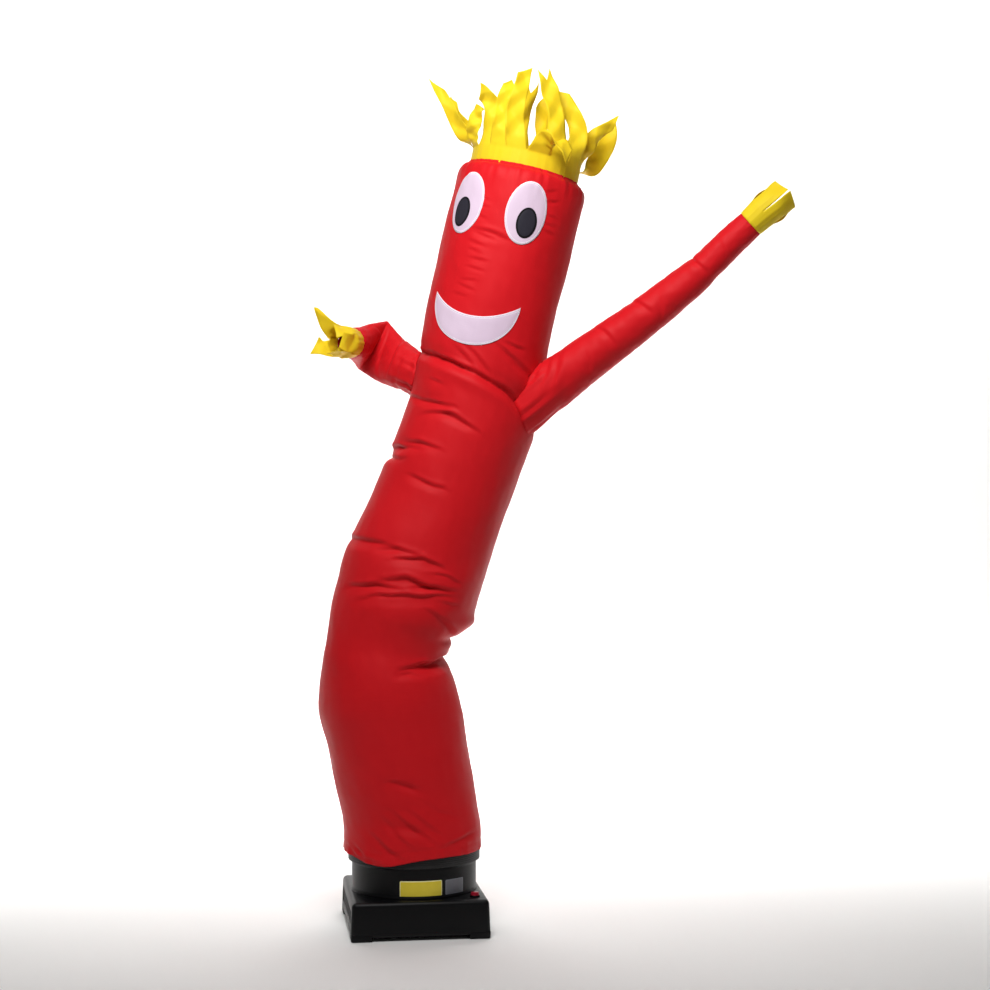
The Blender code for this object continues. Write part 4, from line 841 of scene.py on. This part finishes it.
cutFringe("hair-fringe", hair, *hairPlaces())
for handName, hand in hands.items():
    hand = {**handLook, **hand}
    cutFringe(handName, hand, *handPlaces(hand))


# Face
face = {
    "cloth": 0.0008, "lift": 0.0003, "layer": 0.0016, "rings": 18, "spokes": 72,
    "mouthColumns": 96, "mouthRows": 28,
    # node, height, angle, half width, half height, layer
    "ovals": {
        "eye-left": ("eye_left", 1.601, -46.0, 0.05, 0.0765, 0.0),
        "eye-right": ("eye_right", 1.601, 11.0, 0.05, 0.0765, 0.0),
        "pupil-left": ("pupil_left", 1.578, -48.5, 0.0245, 0.037, 1.0),
        "pupil-right": ("pupil_right", 1.578, 13.0, 0.0245, 0.037, 1.0),
    },
    "mouth": {
        "height": 1.376, "angle": -16.0, "halfWidth": 0.1165, "drop": 0.109, "dip": 0.044, "tip": 0.003,
    },
}


def layPatch(bm, flatX, flatY, height, angle, lift, around, inward, name, finish, slot):
    # lays a flat patch on the tube's cloth, its edge drawn down a little by the stitches
    radius = smoothThrough(tubeRows, tubeLengths, np.array([height]))[0][3]
    pulled = 0.0004 * bell(inward - 0.0035, 0.0016)
    loose = 0.0005 * np.clip(inward / 0.012, 0, 1)
    points = tubePoint(height + flatY, math.radians(angle) + flatX / radius, lift + loose - pulled + 0.0004)
    addEdgeMap(bm, around, inward)
    setPoints(bm, points, onBlower)
    bmesh.ops.remove_doubles(bm, verts=bm.verts, dist=0.00005)
    x, y, z, _, _ = smoothThrough(tubeRows, tubeLengths, np.array([height]))[0]
    middle = onBlower @ Vector((x, y, z))
    bmesh.ops.recalc_face_normals(bm, faces=bm.faces)
    flip = not facesAwayFrom(bm, middle)
    patch = finishPiece(bm, name, finish, slot, thick=face["cloth"], offset=1.0, merge=None, flip=flip)
    return patch


for name, (node, height, angle, halfWidth, halfHeight, layer) in face["ovals"].items():
    bm, across, up = clothGrid(face["spokes"], face["rings"], 2 * math.pi * halfWidth, halfWidth)
    turn = 2 * math.pi * across
    flatX, flatY = up * halfWidth * np.cos(turn), up * halfHeight * np.sin(turn)
    slope = np.hypot(halfHeight * np.cos(turn), halfWidth * np.sin(turn))
    inward = (1 - up) * (halfWidth * halfHeight) / slope
    isPupil = layer > 0
    patch = layPatch(
        bm, flatX, flatY, height, angle, face["lift"] + layer * face["layer"],
        across * 2 * math.pi * halfHeight, inward, name,
        blackNylon if isPupil else whiteNylon, "black_nylon" if isPupil else "white_nylon",
    )
    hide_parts(node)

mouth = face["mouth"]
bm, across, up = clothGrid(face["mouthColumns"], face["mouthRows"], 0.25, 0.08)
u = np.sin((across - 0.5) * math.pi)
upper = mouth["tip"] - mouth["dip"] * (1 - u * u)
lower = -mouth["tip"] - mouth["drop"] * np.sqrt(np.maximum(0, 1 - u * u))
flatX, flatY = u * mouth["halfWidth"], lower + (upper - lower) * up
rim = np.linspace(-1, 1, 400)
rimX = np.concatenate([rim, rim]) * mouth["halfWidth"]
rimY = np.concatenate([
    mouth["tip"] - mouth["dip"] * (1 - rim**2),
    -mouth["tip"] - mouth["drop"] * np.sqrt(np.maximum(0, 1 - rim**2)),
])
inward = np.hypot(flatX[:, None] - rimX[None, :], flatY[:, None] - rimY[None, :]).min(axis=1)
mouthPatch = layPatch(
    bm, flatX, flatY, mouth["height"], mouth["angle"], face["lift"], across * 0.27, inward,
    "mouth-patch", whiteNylon, "white_nylon",
)
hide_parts("mouth")
print("face done")


# Blower
blower = {
    "steps": 160, "width": 0.334, "depth": 0.36, "height": 0.092, "draft": 0.003, "edge": 0.011,
    "foot": 0.008, "mapRadius": 0.16,
    "footSide": 0.052, "drum": 0.1525, "top": 0.225, "lip": 0.1575, "lipHeight": 0.058, "guard": 0.14,
    "guardThickness": 0.004, "recess": 0.002, "duct": 0.13, "ductDepth": 0.02,
    "strap": 0.1615, "strapLow": 0.166, "strapHigh": 0.222, "gap": 0.0003, "footTop": 0.012,
    "slats": 25, "slatPitch": 0.0122, "slatDepth": 0.004, "slatWidth": 0.0045, "slatMargin": 0.044,
    # node, angle and half angle in degrees, lower and upper edge
    "plates": {
        "yellow-plate": ("plate_yellow", 1.0, 19.5, 0.097, 0.136),
        "grey-plate": ("plate_grey", 34.5, 10.5, 0.097, 0.135),
    },
    "plateCorner": 0.003, "plateFilm": 0.0008,
}


def softProfile(corners, radius, segments=4):
    # rounds a turned profile's corners with short arcs
    points = []
    for i, corner in enumerate(corners):
        if i == 0 or i == len(corners) - 1:
            points.append(corner)
            continue
        before, here, after = (Vector(p) for p in (corners[i - 1], corner, corners[i + 1]))
        reach = min(radius, (before - here).length * 0.45, (after - here).length * 0.45)
        start, end = here + (before - here).normalized() * reach, here + (after - here).normalized() * reach
        for k in range(segments + 1):
            t = k / segments
            points.append(tuple(start * (1 - t) ** 2 + here * 2 * t * (1 - t) + end * t * t))
    return points


def turnPiece(name, corners, radius, finish, slot, closed=False):
    # a turned piece: its rounded profile spun a full turn about the drum's axis
    bm = bmesh.new()
    profile = softProfile(corners, radius)
    verts = [bm.verts.new((r, 0, z)) for r, z in profile]
    edges = [bm.edges.new(pair) for pair in zip(verts, verts[1:])]
    if closed:
        edges.append(bm.edges.new((verts[-1], verts[0])))
    bmesh.ops.spin(
        bm, geom=verts + edges, cent=(0, 0, 0), axis=(0, 0, 1), angle=2 * math.pi, steps=blower["steps"],
        use_merge=True,
    )
    cloth = bm.loops.layers.uv.new("cloth")
    for face in bm.faces:
        middle = math.atan2(face.calc_center_median().y, face.calc_center_median().x)
        for loop in face.loops:
            spot = loop.vert.co
            turned = middle + (math.atan2(spot.y, spot.x) - middle + math.pi) % (2 * math.pi) - math.pi
            loop[cloth].uv = (turned * blower["mapRadius"], spot.z)
    bmesh.ops.transform(bm, matrix=onStand, verts=bm.verts)
    piece = finishPiece(bm, name, finish, slot, merge=0.00001)
    piece.data.set_sharp_from_angle(angle=math.radians(40))
    return piece


seat = blower["top"] - blower["guardThickness"] - blower["recess"]
drum = turnPiece("outlet-drum", [
    (0.0, seat - blower["ductDepth"]), (blower["duct"], seat - blower["ductDepth"]),
    (blower["duct"], seat - blower["gap"]),
    (blower["guard"] + 0.0004, seat - blower["gap"]), (blower["guard"] + 0.0004, blower["top"]),
    (blower["lip"], blower["top"]), (blower["lip"], blower["top"] - blower["lipHeight"]),
    (blower["drum"], blower["top"] - blower["lipHeight"] - 0.006), (blower["drum"], blower["height"] + 0.008),
    (blower["drum"] + 0.003, blower["height"] + blower["gap"]), (0.0, blower["height"] + blower["gap"]),
], 0.0022, blackPlastic, "black_plastic")
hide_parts("blower_drum")
strap = turnPiece("fastening-strap", [
    (blower["lip"] + blower["gap"], blower["strapHigh"]), (blower["strap"], blower["strapHigh"]),
    (blower["strap"], blower["strapLow"]), (blower["lip"] + blower["gap"], blower["strapLow"]),
], 0.001, blackWebbing, "black_webbing", closed=True)
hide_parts("fastening_strap")


def roundedBox(bm, size, middle, edge, segments, draft=0.0):
    # a box with every edge rounded
    verts = bmesh.ops.create_cube(bm, size=1.0)["verts"]
    for vert in verts:
        top = vert.co.z > 0
        vert.co = Vector((vert.co.x * size[0], vert.co.y * size[1], vert.co.z * size[2]))
        if top:
            vert.co.x -= math.copysign(draft, vert.co.x)
            vert.co.y -= math.copysign(draft, vert.co.y)
        vert.co += Vector(middle)
    edges = {e for v in verts for e in v.link_edges}
    bmesh.ops.bevel(
        bm, geom=list(edges), offset=edge, offset_type="OFFSET", segments=segments, profile=0.5,
        affect="EDGES", material=-1,
    )


def mouldBase():
    # the moulded housing on four feet, with a ribbed intake in its left side
    bm = bmesh.new()
    low, high = blower["foot"], blower["height"]
    size = (blower["width"], blower["depth"], high - low)
    roundedBox(bm, size, (0, 0, (high + low) / 2), blower["edge"], 6, blower["draft"])
    bm.faces.ensure_lookup_table()
    side = max((f for f in bm.faces if f.normal.x < -0.99), key=lambda f: f.calc_area())
    bmesh.ops.inset_region(bm, faces=[side], thickness=0.012, use_even_offset=True)
    bmesh.ops.inset_region(bm, faces=[side], thickness=0.0015, depth=-0.004, use_even_offset=True)
    count = blower["slats"]
    for i in range(count):
        y = (i - (count - 1) / 2) * blower["slatPitch"]
        x = -blower["width"] / 2 + blower["draft"] / 2 + 0.0034
        slat = (blower["slatDepth"], blower["slatWidth"], (high - low) - blower["slatMargin"])
        roundedBox(bm, slat, (x, y, (high + low) / 2), 0.0009, 2)
    footSide, footTop = blower["footSide"] - 0.001, low + blower["footTop"]
    for sideX in (-1, 1):
        for sideY in (-1, 1):
            x = sideX * (blower["width"] - blower["footSide"]) / 2
            y = sideY * (blower["depth"] - blower["footSide"]) / 2
            roundedBox(bm, (footSide, footSide, footTop), (x, y, footTop / 2), 0.004, 3)
    bmesh.ops.transform(bm, matrix=onStand, verts=bm.verts)
    return finishPiece(bm, "blower-base", blackPlastic, "black_plastic", merge=None)


base = mouldBase()
base.data.set_sharp_from_angle(angle=math.radians(40))
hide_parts("blower_base")


def stickPlate(name, node, angle, halfAngle, low, high, finish, slot):
    # a thin blank plate with rounded corners, bent round the drum
    radius = blower["drum"] + blower["gap"]
    halfWidth, halfHeight = radius * math.radians(halfAngle), (high - low) / 2
    bm, across, up = clothGrid(56, 24, 2 * halfWidth, 2 * halfHeight)
    x, y = (across * 2 - 1) * halfWidth, (up * 2 - 1) * halfHeight
    inward = np.minimum(halfWidth - np.abs(x), halfHeight - np.abs(y))
    corner = blower["plateCorner"]
    overX, overY = np.abs(x) - (halfWidth - corner), np.abs(y) - (halfHeight - corner)
    inCorner = (overX > 0) & (overY > 0)
    pull = np.where(inCorner, np.maximum(overX, overY) / np.maximum(np.hypot(overX, overY), 1e-9), 1.0)
    x = np.where(inCorner, np.sign(x) * (halfWidth - corner + overX * pull), x)
    y = np.where(inCorner, np.sign(y) * (halfHeight - corner + overY * pull), y)
    turn = math.radians(angle) + x / radius
    points = np.stack([radius * np.sin(turn), -radius * np.cos(turn), (low + high) / 2 + y], axis=1)
    addEdgeMap(bm, across, inward)
    setPoints(bm, points, onStand)
    bmesh.ops.recalc_face_normals(bm, faces=bm.faces)
    flip = not facesAwayFrom(bm, (place["stand"][0], place["stand"][1], low))
    plate = finishPiece(bm, name, finish, slot, thick=blower["plateFilm"], offset=1.0, merge=None, flip=flip)
    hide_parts(node)


plateFinishes = {"yellow-plate": (yellowFilm, "yellow_film"), "grey-plate": (greyFilm, "grey_film")}
for name, plate in blower["plates"].items():
    stickPlate(name, *plate, *plateFinishes[name])

keptNodes = {"outlet_guard": blackPlastic, "switch_bezel": blackPlastic, "switch_rocker": redPlastic}
for node, finish in keptNodes.items():
    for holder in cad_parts[node].material_slots:
        holder.material = finish
print("blower done")


# Setting
# Seamless paper sweep, a matt pale floor that bends up into the wall
setting = {
    "paper": ("F2F1EF", "F6F5F3"), "paperWidth": 16, "paperLength": 20, "paperFront": 8.5,
    "paperDrop": 0.0005, "bendStart": 14.0, "bendRadius": 1.2, "fill": 0.1,
    # power, width, depth, place, aim, spread in degrees
    "lamps": {
        "key light": (34, 0.9, 0.9, (-0.6, -1.38, 2.75), (-0.05, 0.0, 1.5), 150),
        "top light": (200, 7.0, 2.0, (0.3, 2.6, 4.4), (0.3, 3.1, 0.0), 80),
        "backdrop light": (360, 7.0, 2.0, (0.3, 3.4, 4.8), (0.5, 6.6, 1.2), 180),
    },
    "camera": {"lens": 69.38, "sensor": 36, "spot": (-0.76255, -4.59903, 1.057), "turn": -8},
}
paper, tree, shader = startFinish("seamless paper", 0.9, 1.5)
where = addNode(tree, "TexCoord").outputs["Object"]
colour = blotches(tree, where, 1.2, *[linearColour(c) for c in setting["paper"]])
tree.links.new(colour, shader.inputs["Base Color"])
bendStart, bendRadius = setting["bendStart"], setting["bendRadius"]
bm, across, up = clothGrid(24, 60, setting["paperWidth"], setting["paperLength"])
lengthUp = up * setting["paperLength"]
arc = np.clip((lengthUp - bendStart) / bendRadius, 0, math.pi / 2)
beyond = np.maximum(0, lengthUp - bendStart - bendRadius * math.pi / 2)
sweepX = (across - 0.5) * setting["paperWidth"]
sweepY = np.minimum(lengthUp, bendStart) - setting["paperFront"] + bendRadius * np.sin(arc)
sweepZ = bendRadius * (1 - np.cos(arc)) + beyond
setPoints(bm, np.stack([sweepX, sweepY, sweepZ - setting["paperDrop"]], axis=1), Matrix.Identity(4))
sweepMesh = bpy.data.meshes.new("paper-sweep")
bmesh.ops.recalc_face_normals(bm, faces=bm.faces)
bm.to_mesh(sweepMesh)
bm.free()
sweepMesh.materials.append(paper)
sweepMesh.shade_smooth()
sweep = bpy.data.objects.new("paper-sweep", sweepMesh)
bpy.context.scene.collection.objects.link(sweep)


def hangLamp(name, power, width, depth, spot, aim, spread):
    lamp = bpy.data.lights.new(name, "AREA")
    lamp.shape = "RECTANGLE"
    lamp.energy, lamp.size, lamp.size_y, lamp.spread = power, width, depth, math.radians(spread)
    holder = bpy.data.objects.new(name, lamp)
    holder.location = spot
    holder.rotation_euler = (Vector(aim) - Vector(spot)).to_track_quat("-Z", "Y").to_euler()
    bpy.context.scene.collection.objects.link(holder)


for name, lamp in setting["lamps"].items():
    hangLamp(name, *lamp)
room = bpy.data.worlds.new("room")
room.use_nodes = True
room.node_tree.nodes["Background"].inputs["Color"].default_value = (1, 1, 1, 1)
room.node_tree.nodes["Background"].inputs["Strength"].default_value = setting["fill"]
bpy.context.scene.world = room
bpy.context.scene.view_settings.view_transform = "Standard"

view = bpy.data.cameras.new("camera")
view.lens, view.sensor_width = setting["camera"]["lens"], setting["camera"]["sensor"]
viewer = bpy.data.objects.new("camera", view)
viewer.location = setting["camera"]["spot"]
viewer.rotation_euler = (math.radians(90), 0, math.radians(setting["camera"]["turn"]))
bpy.context.scene.collection.objects.link(viewer)
bpy.context.scene.camera = viewer
print("setting done")

bpy.context.view_layer.update()
